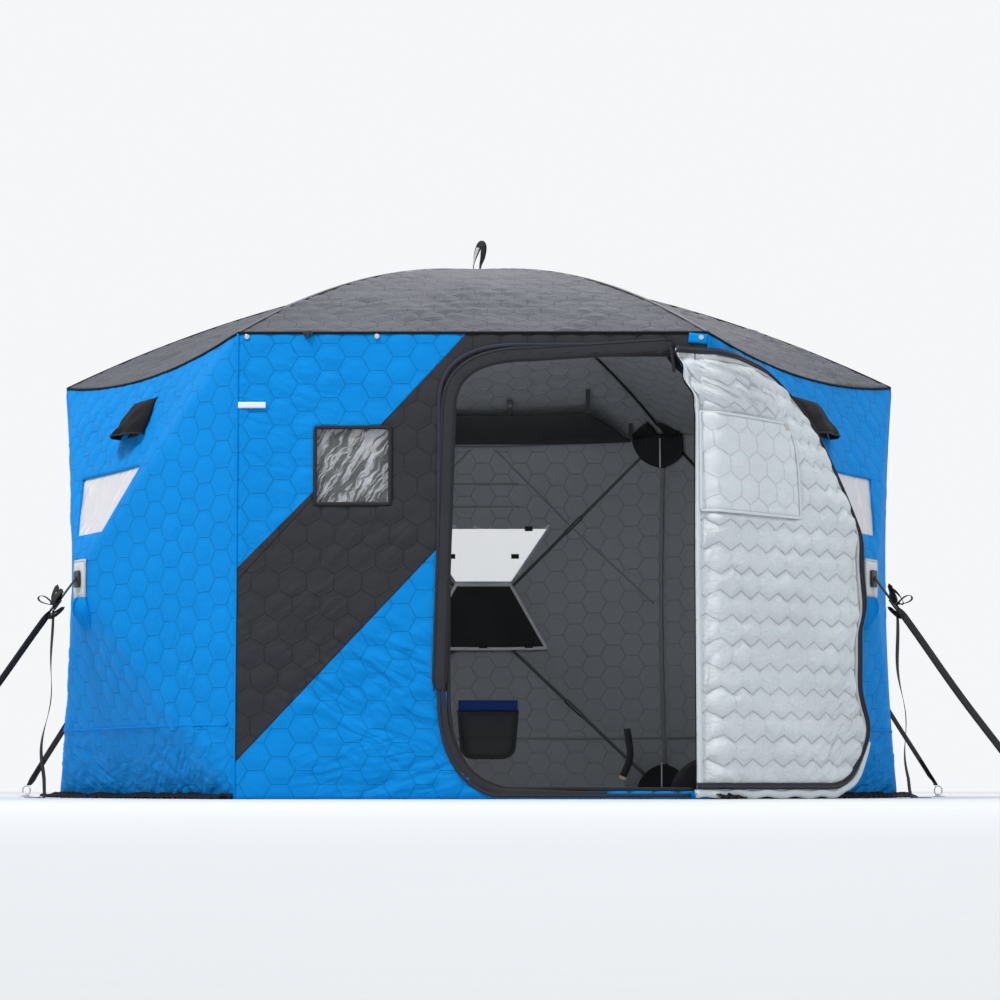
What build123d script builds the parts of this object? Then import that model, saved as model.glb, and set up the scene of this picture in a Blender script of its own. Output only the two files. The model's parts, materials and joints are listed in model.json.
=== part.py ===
from build123d import *
import math
import os

os.makedirs("parts", exist_ok=True)

# Driving sizes, in millimetres. The hut is a regular hexagon in plan. Its door wall is flat and
# faces -Y; each other wall is pulled out to a point by a hub where four poles cross.
side = 1600.0
eave_height = 1580.0
apex_height = 2030.0
cloth = 8.0
seat = 0.3

# How far the tensioned cloth leaves its straight lines
hub_bulge = 250.0
hub_height = 780.0
seam_bow = 35.0
eave_sag = 60.0
ridge_bow = 70.0
gore_sag = 8.0
curve_steps = 7

# Flat area of cloth over each wall hub, and the hexagonal cap of the roof
hub_flat_width = 100.0
hub_flat_height = 130.0
roof_cap_radius = 95.0

# Poles, their hubs and the pockets that hold their tips
pole_radius = 5.5
pole_sides = 12
disc_sides = 24
pole_corner_gap = 75.0
socket_radius = 9.0
roof_hub_radius = 57.0
roof_hub_height = 18.0
socket_length = 55.0
socket_fit = 0.3
hub_plate_thickness = 16.0
pole_seat = 0.7
pocket_radius = 120.0
pocket_thickness = 3.0
pocket_seat = 0.15

# Side windows, on the panel above each hub
window_above_hub = 164.0
window_height = 226.0
window_bottom = hub_height + window_above_hub
window_top = window_bottom + window_height
window_top_width = 558.0
window_bottom_width = 244.0
window_film = 1.5
window_hem = 16.0

# Front window, measured from the hut's centre line
front_window_left = -532.0
front_window_width = 250.0
front_window_bottom = 996.0
front_window_height = 257.0

# Door opening in the front wall
door_left = -80.0
door_hinge_side = 752.0
door_bottom = 33.0
door_head = 76.0
door_top = eave_height - door_head
door_corner_width = 240.0
door_top_corner_height = 156.0
door_bottom_corner_height = 320.0
front_wall_split = 200.0

# Door leaf and its hinge line
leaf_thickness = 6.0
leaf_overlap = 18.0
door_running_gap = 5.0
hinge_proud = 27.0
hinge_bead_radius = 4.0
hinge_web = 2.0
hinge_tape_turn = 62.0
door_open_turn = 41.0
door_window_start = 60.0
door_window_width = 400.0
door_window_bottom = 1010.0
door_window_height = 255.0
door_cover_margin = 42.0
door_cover_thickness = 3.0

# Outside fittings
patch_thickness = 2.0
guy_width = 25.0
guy_thickness = 2.5
guy_reach = 580.0
guy_tab_height = 70.0
adjuster_length = 42.0
adjuster_width = 34.0
adjuster_thickness = 14.0
adjuster_distance = 120.0
tail_width = 20.0
tail_thickness = 2.0
tail_swing = 34.0
tail_bend = 60.0
tail_foot = 60.0
tail_run = 70.0
anchor_plate_radius = 30.0
anchor_plate_thickness = 5.0
anchor_ring_radius = 20.0
anchor_wire_radius = 3.0
wire_sides = 8
loop_height = 132.0
loop_width = 25.0
loop_thickness = 5.0
loop_corner = 8.0
skirt_width = 70.0
skirt_thickness = 2.0
hood_width = 300.0
hood_below_eave = 150.0
hood_height = 135.0
hood_top = eave_height - hood_below_eave
hood_bottom = hood_top - hood_height
hood_reach = 75.0
hood_crown_reach = 25.0
hood_thickness = 4.0
hood_end_taper = 40.0

# Inside fittings
cover_thickness = 3.0
cover_drop = 285.0
net_front = 1050.0
net_front_above_eave = 40.0
net_front_height = eave_height + net_front_above_eave
net_front_half = 450.0
net_back = 1290.0
net_back_below_eave = 50.0
net_back_height = eave_height - net_back_below_eave
net_back_half = 640.0
net_thickness = 3.0
net_strap_width = 18.0
net_strap_thickness = 4.0
wall_pocket_centre = 22.0
wall_pocket_width = 257.0
wall_pocket_bottom = 168.0
wall_pocket_top = 416.0
wall_pocket_thickness = 4.0

# Worked out from the sizes above
half_turn = math.radians(30)
apothem = side * math.cos(half_turn)
roof_slope = math.atan2(apex_height - eave_height, side - roof_cap_radius)
wall_names = ["front", "front_right", "rear_right", "back", "rear_left", "front_left"]
hub_walls = range(1, 6)
hood_walls = (hub_walls[0], hub_walls[-1])
roof_pole_depth = cloth + pole_radius + pole_seat
wall_inner_reach = apothem / 4
wall_outer_reach = apothem + 2 * hub_bulge
pieces = {}


def polar(radius, degrees, height):
    turn = math.radians(degrees)
    return Vector(radius * math.cos(turn), radius * math.sin(turn), height)


def corner_turn(wall):
    return 240 + 60 * wall


def wall_turn(wall):
    return 270 + 60 * wall


def flat(*points):
    return Face(Wire.make_polygon(points))


def closed(faces):
    return Solid(Shell(faces))


def bent(start, middle, end):
    """Row of points on the parabola through three points."""
    control = middle * 2 - (start + end) / 2
    row = []
    for step in range(curve_steps + 1):
        share = step / curve_steps
        straight = start * (1 - share) ** 2 + end * share**2
        row.append(straight + control * (2 * share * (1 - share)))
    return row


def facets(first, second):
    """Flat triangles between two rows of points, one of which may run into a corner."""
    faces = []
    for here, after, below, below_after in zip(first, first[1:], second, second[1:]):
        for corners in ((here, after, below), (after, below_after, below)):
            sides = [(corners[index] - corners[index - 1]).length for index in range(3)]
            if min(sides) > seat / 2:
                faces.append(flat(*corners))
    return faces


# Every skin of the hut is found from its depth, measured in from the outside of the cloth
def corner_radius(depth):
    return side - depth / math.cos(half_turn)


def corner_foot(corner, depth):
    return polar(corner_radius(depth), corner_turn(corner), 0)


def corner_head(corner, depth):
    drop = depth * (1 - math.sin(roof_slope)) / math.cos(roof_slope)
    return polar(corner_radius(depth), corner_turn(corner), eave_height - drop)


def seam(corner, depth):
    foot, head = corner_foot(corner, depth), corner_head(corner, depth)
    bow = 0 if corner % 6 in (0, 1) else seam_bow
    middle = polar(corner_radius(depth) - bow, corner_turn(corner), head.Z / 2)
    return bent(foot, middle, head)


def sag_of(wall):
    return 0 if wall % 6 == 0 else eave_sag


def hung(start, end, sag):
    return bent(start, (start + end) / 2 - Vector(0, 0, sag), end)


def eave(wall, depth):
    return hung(corner_head(wall, depth), corner_head(wall + 1, depth), sag_of(wall))


def hub_centre(wall, depth):
    return polar(apothem + hub_bulge - depth, wall_turn(wall), hub_height)


def hub_corner(wall, depth, across, up):
    tangent = polar(hub_flat_width / 2, wall_turn(wall) + 90, 0)
    return hub_centre(wall, depth) + tangent * across + Vector(0, 0, up * hub_flat_height / 2)


def gathered(first, last):
    """Row of points that all lie on the two ends of a short edge."""
    early = curve_steps // 2 + 1
    return [first] * early + [last] * (curve_steps + 1 - early)


def wall_skin(wall, depth):
    if wall % 6 == 0:
        front = seam(wall, depth) + eave(wall, depth)[1:-1] + seam(wall + 1, depth)[::-1]
        return [flat(*front)]
    low_left, low_right = hub_corner(wall, depth, -1, -1), hub_corner(wall, depth, 1, -1)
    high_left, high_right = hub_corner(wall, depth, -1, 1), hub_corner(wall, depth, 1, 1)
    feet = corner_foot(wall, depth), corner_foot(wall + 1, depth)
    skin = [flat(low_left, low_right, high_right, high_left), flat(*feet, low_right, low_left)]
    skin += facets(eave(wall, depth), gathered(high_left, high_right))
    skin += facets(seam(wall, depth), gathered(low_left, high_left))
    skin += facets(seam(wall + 1, depth), gathered(low_right, high_right))
    return skin


def wall_panel(wall, outer, inner):
    """Cloth of one wall between two depths."""
    rims = facets(eave(wall, outer), eave(wall, inner))
    rims += facets(seam(wall, outer), seam(wall, inner))
    rims += facets(seam(wall + 1, outer), seam(wall + 1, inner))
    rims.append(flat(
        corner_foot(wall, outer), corner_foot(wall + 1, outer),
        corner_foot(wall + 1, inner), corner_foot(wall, inner),
    ))
    return closed(wall_skin(wall, outer) + wall_skin(wall, inner) + rims)


def cap_corner(corner, depth):
    return polar(roof_cap_radius, corner_turn(corner), apex_height - depth)


def ridge(corner, depth):
    return hung(cap_corner(corner, depth), corner_head(corner, depth), -ridge_bow)


def gore_rows(wall, depth):
    """Rows of points on one roof panel, from the cap down to the eave."""
    rows = []
    for step, ends in enumerate(zip(ridge(wall, depth), ridge(wall + 1, depth))):
        share = step / curve_steps
        sag = sag_of(wall) * share**2 + 4 * gore_sag * share * (1 - share)
        rows.append(hung(*ends, sag))
    return rows


def gore_skin(wall, depth):
    rows = gore_rows(wall, depth)
    return [face for upper, lower in zip(rows, rows[1:]) for face in facets(upper, lower)]


def roof_gore(wall, outer, inner):
    """Cloth of one roof panel between two depths."""
    outside, inside = gore_rows(wall, outer), gore_rows(wall, inner)
    rims = facets(outside[0], inside[0]) + facets(outside[-1], inside[-1])
    for end in (0, -1):
        rims += facets([row[end] for row in outside], [row[end] for row in inside])
    return closed(gore_skin(wall, outer) + gore_skin(wall, inner) + rims)


def inside_volume(depth):
    """Everything inside the skin at one depth, down to the floor."""
    faces = []
    for wall in range(6):
        faces += wall_skin(wall, depth) + gore_skin(wall, depth)
    faces.append(flat(*[corner_foot(wall, depth) for wall in range(6)]))
    cap = [point for wall in range(6) for point in gore_rows(wall, depth)[0][:-1]]
    faces.append(flat(*cap))
    return closed(faces)


def facing(wall, radius):
    """Plane square to a wall: x runs along the wall, y up, z outward."""
    turn = wall_turn(wall)
    return Plane(polar(radius, turn, 0), x_dir=polar(1, turn + 90, 0), z_dir=polar(1, turn, 0))


def prism(plane, points, length):
    return extrude(plane * Polygon(*points, align=None), amount=length)


def shape_on_wall(wall, points, near=wall_inner_reach, far=wall_outer_reach):
    return prism(facing(wall, near), points, far - near)


def window_outline(margin):
    top, bottom = window_top_width / 2 + margin, window_bottom_width / 2 + margin
    return [
        (-bottom, window_bottom - margin),
        (bottom, window_bottom - margin),
        (top, window_top + margin),
        (-top, window_top + margin),
    ]


def rectangle(left, bottom, width, height, margin=0.0):
    low, high = bottom - margin, bottom + height + margin
    right = left + width + margin
    return [(left - margin, low), (right, low), (right, high), (left - margin, high)]


def door_shape(plane, free, hinge, bottom, top, margin, thickness):
    """Slab with long soft corners on its free side."""
    turn = free + math.copysign(door_corner_width + margin, hinge - free)
    low = bottom + door_bottom_corner_height + margin
    high = top - door_top_corner_height - margin
    outline = Wire(
        [
            Edge.make_line((hinge, bottom), (hinge, top)),
            Edge.make_line((hinge, top), (turn, top)),
            Edge.make_bezier((turn, top), (free, top), (free, high)),
            Edge.make_line((free, high), (free, low)),
            Edge.make_bezier((free, low), (free, bottom), (turn, bottom)),
            Edge.make_line((turn, bottom), (hinge, bottom)),
        ]
    )
    return extrude(plane * Face(outline), amount=thickness, dir=plane.z_dir)


def solid_of(shape):
    """The single solid of a result that may be wrapped in a list."""
    return shape.solids()[0]


def place(name, *solids):
    pieces[name] = solids


def make_hub_walls():
    window_films = []
    for wall in hub_walls:
        panel = wall_panel(wall, 0, cloth)
        hole = shape_on_wall(wall, window_outline(0))
        place("wall_" + wall_names[wall], solid_of(panel - hole))
        layer = wall_panel(wall, cloth + seat, cloth + seat + window_film)
        film_area = shape_on_wall(wall, window_outline(window_hem))
        window_films.append(solid_of(layer & film_area))
    place("side_windows", *window_films)


def front_plane(depth):
    return facing(0, apothem - depth)


def make_front_wall():
    plan = [corner_foot(0, 0), corner_foot(1, 0), corner_foot(1, cloth), corner_foot(0, cloth)]
    slab = wall_panel(0, 0, cloth)
    opening = door_shape(
        front_plane(2 * cloth), door_left, door_hinge_side, door_bottom, door_top, 0, 4 * cloth
    )
    window = rectangle(
        front_window_left, front_window_bottom, front_window_width, front_window_height
    )
    slab = slab - opening
    slab = slab - prism(front_plane(2 * cloth), window, 4 * cloth)
    left_end = plan[0].X - cloth
    right_end = plan[1].X + cloth
    parts = {
        "front_wall_left": (left_end, front_wall_split, -cloth, apex_height),
        "front_wall_head": (front_wall_split, right_end, door_top, apex_height),
        "front_wall_sill": (front_wall_split, right_end, -cloth, door_bottom),
        "front_wall_hinge_strip": (door_hinge_side, right_end, door_bottom, door_top),
    }
    for name, (left, right, low, high) in parts.items():
        outline = rectangle(left, low, right - left, high - low)
        place(name, solid_of(slab & prism(front_plane(2 * cloth), outline, 4 * cloth)))
    film = rectangle(
        front_window_left, front_window_bottom, front_window_width, front_window_height,
        window_hem,
    )
    place("front_window", solid_of(prism(front_plane(cloth + seat), film, -window_film)))


def make_roof():
    for wall in range(6):
        place("roof_" + wall_names[wall], roof_gore(wall, 0, cloth))
    corners = [cap_corner(wall, 0) for wall in range(6)]
    plug = extrude(flat(*corners), amount=cloth, dir=(0, 0, -1))
    place("roof_cap", solid_of(plug))
    loop_plane = Plane((0, 0, apex_height + seat), x_dir=(1, 0, 0), z_dir=(0, -1, 0))
    shape = Rectangle(loop_width, loop_height, align=(Align.CENTER, Align.MIN))
    shape = fillet(shape.vertices().group_by(Axis.Y)[-1], loop_corner)
    strap = extrude(loop_plane * shape, amount=loop_thickness / 2, both=True)
    place("roof_strap", solid_of(strap))


def crease_normal(wall, across, up):
    """Mean outward direction of the two wall faces that meet at one crease."""
    corner = wall if across < 0 else wall + 1
    other = wall + 1 if across < 0 else wall
    pick = corner_head if up > 0 else corner_foot
    start, hub = pick(corner, 0), hub_corner(wall, 0, across, up)
    level = pick(other, 0) - start
    upright = corner_head(corner, 0) - corner_foot(corner, 0)
    outward = polar(1, wall_turn(wall), 0)
    total = Vector(0, 0, 0)
    for edge in (level, upright):
        normal = edge.cross(hub - start).normalized()
        total = total + (normal if normal.dot(outward) > 0 else normal * -1)
    return total.normalized()


def rod(start, end, radius):
    """Straight pole with few sides, so that the whole part stays light."""
    section = Plane(start, z_dir=end - start) * RegularPolygon(radius, pole_sides)
    return extrude(section, amount=(end - start).length, dir=end - start)


def wall_pole_line(wall, across, up):
    """Axis of a wall pole, just inside the crease from a hub corner to a wall corner."""
    corner = wall if across < 0 else wall + 1
    pick = corner_head if up > 0 else corner_foot
    inward = crease_normal(wall, across, up) * -1
    hub_end = hub_corner(wall, cloth, across, up) + inward * (socket_radius + pole_seat)
    tip = pick(corner, cloth) + inward * (pole_radius + pole_seat)
    direction = (tip - hub_end).normalized()
    return hub_end, tip - direction * pole_corner_gap


def make_wall_poles():
    rods = []
    hubs = []
    for wall in hub_walls:
        depth = cloth + pole_seat + 2 * socket_radius - hub_plate_thickness
        plate_points = rectangle(
            -hub_flat_width / 2, hub_height - hub_flat_height / 2, hub_flat_width, hub_flat_height
        )
        outer = apothem + hub_bulge - depth
        hub = solid_of(shape_on_wall(wall, plate_points, outer - hub_plate_thickness, outer))
        for across in (-1, 1):
            for up in (-1, 1):
                start, end = wall_pole_line(wall, across, up)
                direction = (end - start).normalized()
                mouth = start + direction * socket_length
                hub = hub + rod(start, mouth, socket_radius)
                hub = hub - rod(start, mouth + direction, pole_radius + socket_fit)
                rods.append(rod(start + direction * seat, end, pole_radius))
        hubs.append(solid_of(hub))
    place("wall_poles", *rods)
    place("wall_hubs", *hubs)


def make_roof_poles():
    rods = []
    base = Plane((0, 0, apex_height - cloth - seat))
    hub = extrude(base * RegularPolygon(roof_hub_radius, disc_sides), amount=-roof_hub_height)
    for corner in range(6):
        points = ridge(corner, roof_pole_depth)
        tip, last = points[-1], points[-2]
        points[-1] = tip + (last - tip).normalized() * pole_corner_gap
        section = Plane(points[0], z_dir=points[1] - points[0])
        section = section * RegularPolygon(pole_radius, pole_sides)
        rods.append(solid_of(sweep(section, Polyline(*points), transition=Transition.RIGHT)))
        inward = polar(-1, corner_turn(corner), 0)
        arm_end = points[0] + inward * (pole_seat + seat)
        hub = hub + rod(points[0] + inward * socket_length, arm_end, pole_radius)
    place("roof_poles", *rods)
    place("roof_hub", solid_of(hub))


def make_corner_pockets():
    """Round caps of cloth, stitched over the pole tips in every corner."""
    outer = cloth + 2 * pole_radius + pocket_seat
    layer = inside_volume(outer) - inside_volume(outer + pocket_thickness)
    for name, pick in (("corner_pockets_top", corner_head), ("corner_pockets_bottom", corner_foot)):
        caps = []
        for corner in range(6):
            ball = Pos(pick(corner, outer)) * Sphere(pocket_radius)
            caps.append(solid_of(layer & ball))
        place(name, *caps)


def make_hub_patches():
    patches = []
    for wall in hub_walls:
        outline = rectangle(
            -hub_flat_width / 2, hub_height - hub_flat_height / 2, hub_flat_width, hub_flat_height
        )
        near = apothem + hub_bulge + seat
        patches.append(solid_of(shape_on_wall(wall, outline, near, near + patch_thickness)))
    place("hub_patches", *patches)


def make_guys():
    """Pull straps from the hubs to the anchors, and their loose tails."""
    straps = []
    tails = []
    anchors = []
    face = apothem + hub_bulge + patch_thickness + 2 * seat
    middle = face + guy_thickness / 2
    ring_height = anchor_plate_thickness + anchor_ring_radius
    for wall in hub_walls:
        turn = wall_turn(wall)
        sideways = polar(1, turn + 90, 0)
        tab_points = rectangle(
            -guy_width / 2, hub_height - guy_tab_height / 2, guy_width, guy_tab_height
        )
        tab = solid_of(shape_on_wall(wall, tab_points, face, face + guy_thickness))
        start = polar(middle, turn, hub_height)
        ring_centre = polar(face + guy_reach, turn, ring_height)
        direction = (ring_centre - start).normalized()
        stop = anchor_ring_radius + anchor_wire_radius + seat
        along = Plane(start, x_dir=direction, z_dir=direction.cross(sideways))
        strap = along * Box(
            (ring_centre - start).length - stop, guy_width, guy_thickness,
            align=(Align.MIN, Align.CENTER, Align.CENTER),
        )
        adjuster = along * Pos(adjuster_distance, 0, 0) * Box(
            adjuster_length, adjuster_width, adjuster_thickness
        )
        straps.append(solid_of(tab + strap + adjuster))

        drop = start + direction * adjuster_distance
        level = math.hypot(direction.X, direction.Y)
        below = drop.Z - (adjuster_thickness / 2 + seat - direction.Z * tail_thickness / 2) / level
        reach = math.hypot(drop.X, drop.Y)
        side_view = Plane((0, 0, 0), x_dir=polar(1, turn, 0), z_dir=polar(1, turn - 90, 0))
        path = [(reach + out, height) for out, height in tail_path(below)]
        band = side_view * trace(Polyline(*path), tail_thickness)
        tails.append(solid_of(extrude(band, amount=tail_width / 2, both=True)))

        foot = Plane(polar(face + guy_reach, turn, 0))
        plate = extrude(foot * RegularPolygon(anchor_plate_radius, disc_sides),
                        amount=anchor_plate_thickness)
        ring_top = Plane(
            ring_centre + Vector(0, 0, anchor_ring_radius), x_dir=(0, 0, 1), z_dir=polar(1, turn, 0)
        )
        wire = ring_top * RegularPolygon(anchor_wire_radius, wire_sides)
        ring = revolve(wire, Axis(ring_centre, sideways))
        anchors.append(solid_of(plate + ring))
    place("guy_straps", *straps)
    place("guy_tails", *tails)
    place("ice_anchors", *anchors)


def tail_path(top):
    """Loose strap end: how far it hangs out from the adjuster, and how high."""
    floor = tail_thickness / 2
    end = tail_foot + tail_run
    return [(0, top), (tail_swing, tail_bend), (tail_foot, floor), (end, floor)]


def make_snow_skirt():
    lean = skirt_thickness * hub_bulge / (hub_height - hub_flat_height / 2)
    start = side + (lean + seat) / math.cos(half_turn)
    outer = [polar(start + skirt_width, corner_turn(corner), 0) for corner in range(1, 7)]
    inner = [polar(start, corner_turn(corner), 0) for corner in range(6, 0, -1)]
    ring = extrude(flat(*outer, *inner), amount=skirt_thickness)
    place("snow_skirt", solid_of(ring))


def hood_wedge(wall, shrink):
    """Wedge-shaped body of a vent hood, open below once a smaller one is cut from it."""
    eave_bottom = eave_height - eave_sag
    lean = hub_bulge / (eave_bottom - hub_height - hub_flat_height / 2)
    top_out = apothem + (eave_bottom - hood_top) * lean
    low_out = apothem + (eave_bottom - hood_bottom) * lean
    points = [
        (top_out, hood_top - shrink),
        (low_out, hood_bottom - shrink),
        (low_out + hood_reach - shrink, hood_bottom - shrink),
        (top_out + hood_crown_reach - shrink, hood_top - shrink),
    ]
    turn = wall_turn(wall)
    plane = Plane((0, 0, 0), x_dir=polar(1, turn, 0), z_dir=polar(1, turn - 90, 0))
    half = hood_width / 2 - hood_end_taper - shrink
    return extrude(plane * Polygon(*points, align=None), amount=half, both=True)


def make_vent_hoods():
    hoods = []
    for wall in hood_walls:
        shell = hood_wedge(wall, 0) - hood_wedge(wall, hood_thickness)
        hoods.append(solid_of(shell - wall_panel(wall, -seat, cloth)))
    place("vent_hoods", *hoods)


def make_inside_fittings():
    covers = []
    depth = cloth + pole_seat + 2 * (socket_radius + seat)
    top = window_bottom - window_hem - seat
    outline = [
        (-window_bottom_width / 2, top),
        (-window_top_width / 2, top - cover_drop),
        (window_top_width / 2, top - cover_drop),
        (window_bottom_width / 2, top),
    ]
    for wall in hub_walls:
        layer = wall_panel(wall, depth, depth + cover_thickness)
        covers.append(solid_of(layer & shape_on_wall(wall, outline)))
    place("window_covers", *covers)

    depth = cloth + seat
    layer = wall_panel(3, depth, depth + wall_pocket_thickness)
    area = rectangle(
        -wall_pocket_centre - wall_pocket_width / 2, wall_pocket_bottom,
        wall_pocket_width, wall_pocket_top - wall_pocket_bottom,
    )
    place("wall_pocket", solid_of(layer & shape_on_wall(3, area)))

    front = [Vector(end * net_front_half, net_front, net_front_height) for end in (-1, 1)]
    back = [Vector(end * net_back_half, net_back, net_back_height) for end in (1, -1)]
    net = extrude(flat(*front, *back), amount=net_thickness, dir=(0, 0, -1))
    place("gear_net", solid_of(net))
    under_roof = inside_volume(cloth + seat)
    straps = []
    for corner in front + back:
        foot = Pos(corner + Vector(0, 0, seat))
        strap = foot * Box(
            net_strap_width, net_strap_thickness, apex_height - corner.Z,
            align=(Align.CENTER, Align.CENTER, Align.MIN),
        )
        straps.append(solid_of(strap & under_roof))
    place("net_straps", *straps)


# The door hangs on a sewn bead that stands a little proud of the front wall
hinge_point = Vector(door_hinge_side, -apothem - hinge_proud, 0)
leaf_offset = hinge_proud - leaf_thickness - door_running_gap
leaf_bottom = door_bottom - leaf_overlap
leaf_top = door_top + leaf_overlap
leaf_reach = door_hinge_side - door_left + leaf_overlap


def open_door_plane(offset):
    """Plane of the open leaf: x from the hinge to the free edge, y up, z away from the hut."""
    along = polar(1, door_open_turn, 0)
    outward = polar(1, door_open_turn - 90, 0)
    return Plane(hinge_point + outward * offset, x_dir=along, z_dir=outward)


def make_door():
    leaf = door_shape(
        open_door_plane(leaf_offset), leaf_reach, 0, leaf_bottom, leaf_top, leaf_overlap,
        leaf_thickness,
    )
    window = rectangle(
        door_window_start, door_window_bottom, door_window_width, door_window_height
    )
    leaf = leaf - prism(open_door_plane(leaf_offset - cloth), window, 3 * cloth)
    tall = leaf_top - leaf_bottom
    foot = hinge_point + Vector(0, 0, leaf_bottom)
    bead = Solid.make_cylinder(hinge_bead_radius, tall, Plane(foot))
    web = rectangle(0, leaf_bottom, hinge_web, tall)
    leaf = leaf + bead + prism(open_door_plane(0), web, leaf_offset + hinge_web)
    place("door_leaf", solid_of(leaf))

    film = rectangle(
        door_window_start, door_window_bottom, door_window_width, door_window_height, window_hem
    )
    inner_face = leaf_offset + leaf_thickness + seat
    place("door_window", solid_of(prism(open_door_plane(inner_face), film, window_film)))
    cover = rectangle(
        door_window_start, door_window_bottom, door_window_width, door_window_height,
        door_cover_margin,
    )
    cover_face = inner_face + window_film + seat
    place("door_window_cover", solid_of(
        prism(open_door_plane(cover_face), cover, door_cover_thickness)
    ))

    direction = polar(1, hinge_tape_turn, 0)
    near = hinge_bead_radius + seat
    far = hinge_proud / math.sin(math.radians(hinge_tape_turn)) - seat
    tape_plane = Plane(foot, x_dir=direction, z_dir=(0, 0, 1))
    tape = tape_plane * Pos(near, 0, 0) * Box(
        far - near - hinge_web / 2, hinge_web, tall, align=(Align.MIN, Align.CENTER, Align.MIN)
    )
    place("door_hinge_tape", solid_of(tape))


make_hub_walls()
make_front_wall()
make_roof()
make_wall_poles()
make_roof_poles()
make_corner_pockets()
make_hub_patches()
make_guys()
make_snow_skirt()
make_vent_hoods()
make_inside_fittings()
make_door()

# The origin is on the floor, under the middle of the whole outline
everything = Compound([solid for group in pieces.values() for solid in group]).bounding_box()
shift = Vector(-everything.center().X, -everything.center().Y, -everything.min.Z)
for name, group in pieces.items():
    moved = [Pos(shift) * solid for solid in group]
    shape = moved[0] if len(moved) == 1 else Compound(moved)
    shape.label = name
    export_step(shape, "parts/" + name + ".step")
print("moved by", shift, "size", everything.size)
print("hinge at", hinge_point + shift)
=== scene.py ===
import json
import math

import bpy
import numpy as np
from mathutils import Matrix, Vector, noise
from mathutils.geometry import delaunay_2d_cdt

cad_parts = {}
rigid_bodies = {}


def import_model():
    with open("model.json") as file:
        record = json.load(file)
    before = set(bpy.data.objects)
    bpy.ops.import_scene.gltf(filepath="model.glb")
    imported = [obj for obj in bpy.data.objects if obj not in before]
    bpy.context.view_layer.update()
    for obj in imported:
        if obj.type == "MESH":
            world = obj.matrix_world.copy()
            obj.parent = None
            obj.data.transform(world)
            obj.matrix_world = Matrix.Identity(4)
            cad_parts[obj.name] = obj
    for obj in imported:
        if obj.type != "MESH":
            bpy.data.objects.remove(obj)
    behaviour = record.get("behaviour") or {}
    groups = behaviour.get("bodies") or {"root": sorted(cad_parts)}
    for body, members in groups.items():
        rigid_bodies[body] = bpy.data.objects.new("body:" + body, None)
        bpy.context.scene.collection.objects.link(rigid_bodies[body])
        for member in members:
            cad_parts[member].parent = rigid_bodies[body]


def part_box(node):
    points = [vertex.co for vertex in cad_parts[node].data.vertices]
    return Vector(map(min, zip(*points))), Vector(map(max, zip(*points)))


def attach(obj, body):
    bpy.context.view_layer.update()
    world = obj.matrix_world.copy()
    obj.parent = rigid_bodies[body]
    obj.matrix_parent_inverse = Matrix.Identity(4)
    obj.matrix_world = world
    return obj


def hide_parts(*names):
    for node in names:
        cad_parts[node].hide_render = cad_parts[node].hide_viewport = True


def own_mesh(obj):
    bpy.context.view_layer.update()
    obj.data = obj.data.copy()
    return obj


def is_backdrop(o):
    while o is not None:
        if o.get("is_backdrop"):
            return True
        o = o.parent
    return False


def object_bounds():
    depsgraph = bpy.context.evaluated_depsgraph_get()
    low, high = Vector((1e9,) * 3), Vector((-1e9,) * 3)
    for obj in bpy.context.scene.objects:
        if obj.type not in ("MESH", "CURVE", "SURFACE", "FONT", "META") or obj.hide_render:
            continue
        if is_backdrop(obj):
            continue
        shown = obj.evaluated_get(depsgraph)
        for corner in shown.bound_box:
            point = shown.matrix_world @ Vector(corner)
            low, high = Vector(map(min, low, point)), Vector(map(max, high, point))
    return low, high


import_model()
cad_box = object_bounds()

# Sizes in metres. The hut is a regular hexagon; its door wall faces -Y.
SIDE = 1.6
HALF = SIDE / 2
APOTHEM = SIDE * math.cos(math.radians(30))
EAVE = 1.58
APEX = 2.03
CLOTH = 0.008
HUB_BULGE = 0.25
HUB_HEIGHT = 0.78
HUB_WIDE = 0.1
HUB_TALL = 0.13
SEAM_BOW = 0.035
EAVE_SAG = 0.06
RIDGE_BOW = 0.07
GORE_SAG = 0.008
CAP_RADIUS = 0.095
SKIRT = 0.07
POLE = 0.0068
WINDOW = {"top": 1.17, "bottom": 0.944, "wide": 0.558, "narrow": 0.244}
FRONT_WINDOW = (-0.532, 0.996, 0.25, 0.257)
DOOR = {"left": -0.08, "right": 0.752, "bottom": 0.033, "top": 1.504}
DOOR_CORNER = 0.24
DOOR_TOP_CORNER = 0.156
DOOR_LOW_CORNER = 0.32
HINGE_PROUD = 0.027
LEAF_OFFSET = 0.016
LEAF_OVERLAP = 0.018
DOOR_TURN = 41.0

# The hut's middle stands behind the origin, which is under the middle of the whole outline
CENTRE_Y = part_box("front_wall_sill")[0].y + APOTHEM

# Side of the quilting's hexagons, and spacing of the points that carry it
HEX = 0.054
LATTICE = HEX / 4
HUB_WALLS = (1, 2, 3, 4, 5)
HOOD_WALLS = (1, 5)
BACK = 3
NAMES = ("front", "front_right", "rear_right", "back", "rear_left", "front_left")
UP = np.array([0.0, 0.0, 1.0])


def polar(radius, degrees, height=0.0):
    turn = math.radians(degrees)
    return np.array([radius * math.cos(turn), radius * math.sin(turn), height])


def wall_turn(wall):
    return 270 + 60 * wall


def wall_axes(wall):
    """Unit vectors out from a wall and along it."""
    return polar(1, wall_turn(wall)), polar(1, wall_turn(wall) + 90)


def in_row_frame(points):
    """Points of the hut's own frame, moved to where the CAD frame has them."""
    points = np.array(points, float)
    points[..., 1] += CENTRE_Y
    return points


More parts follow.
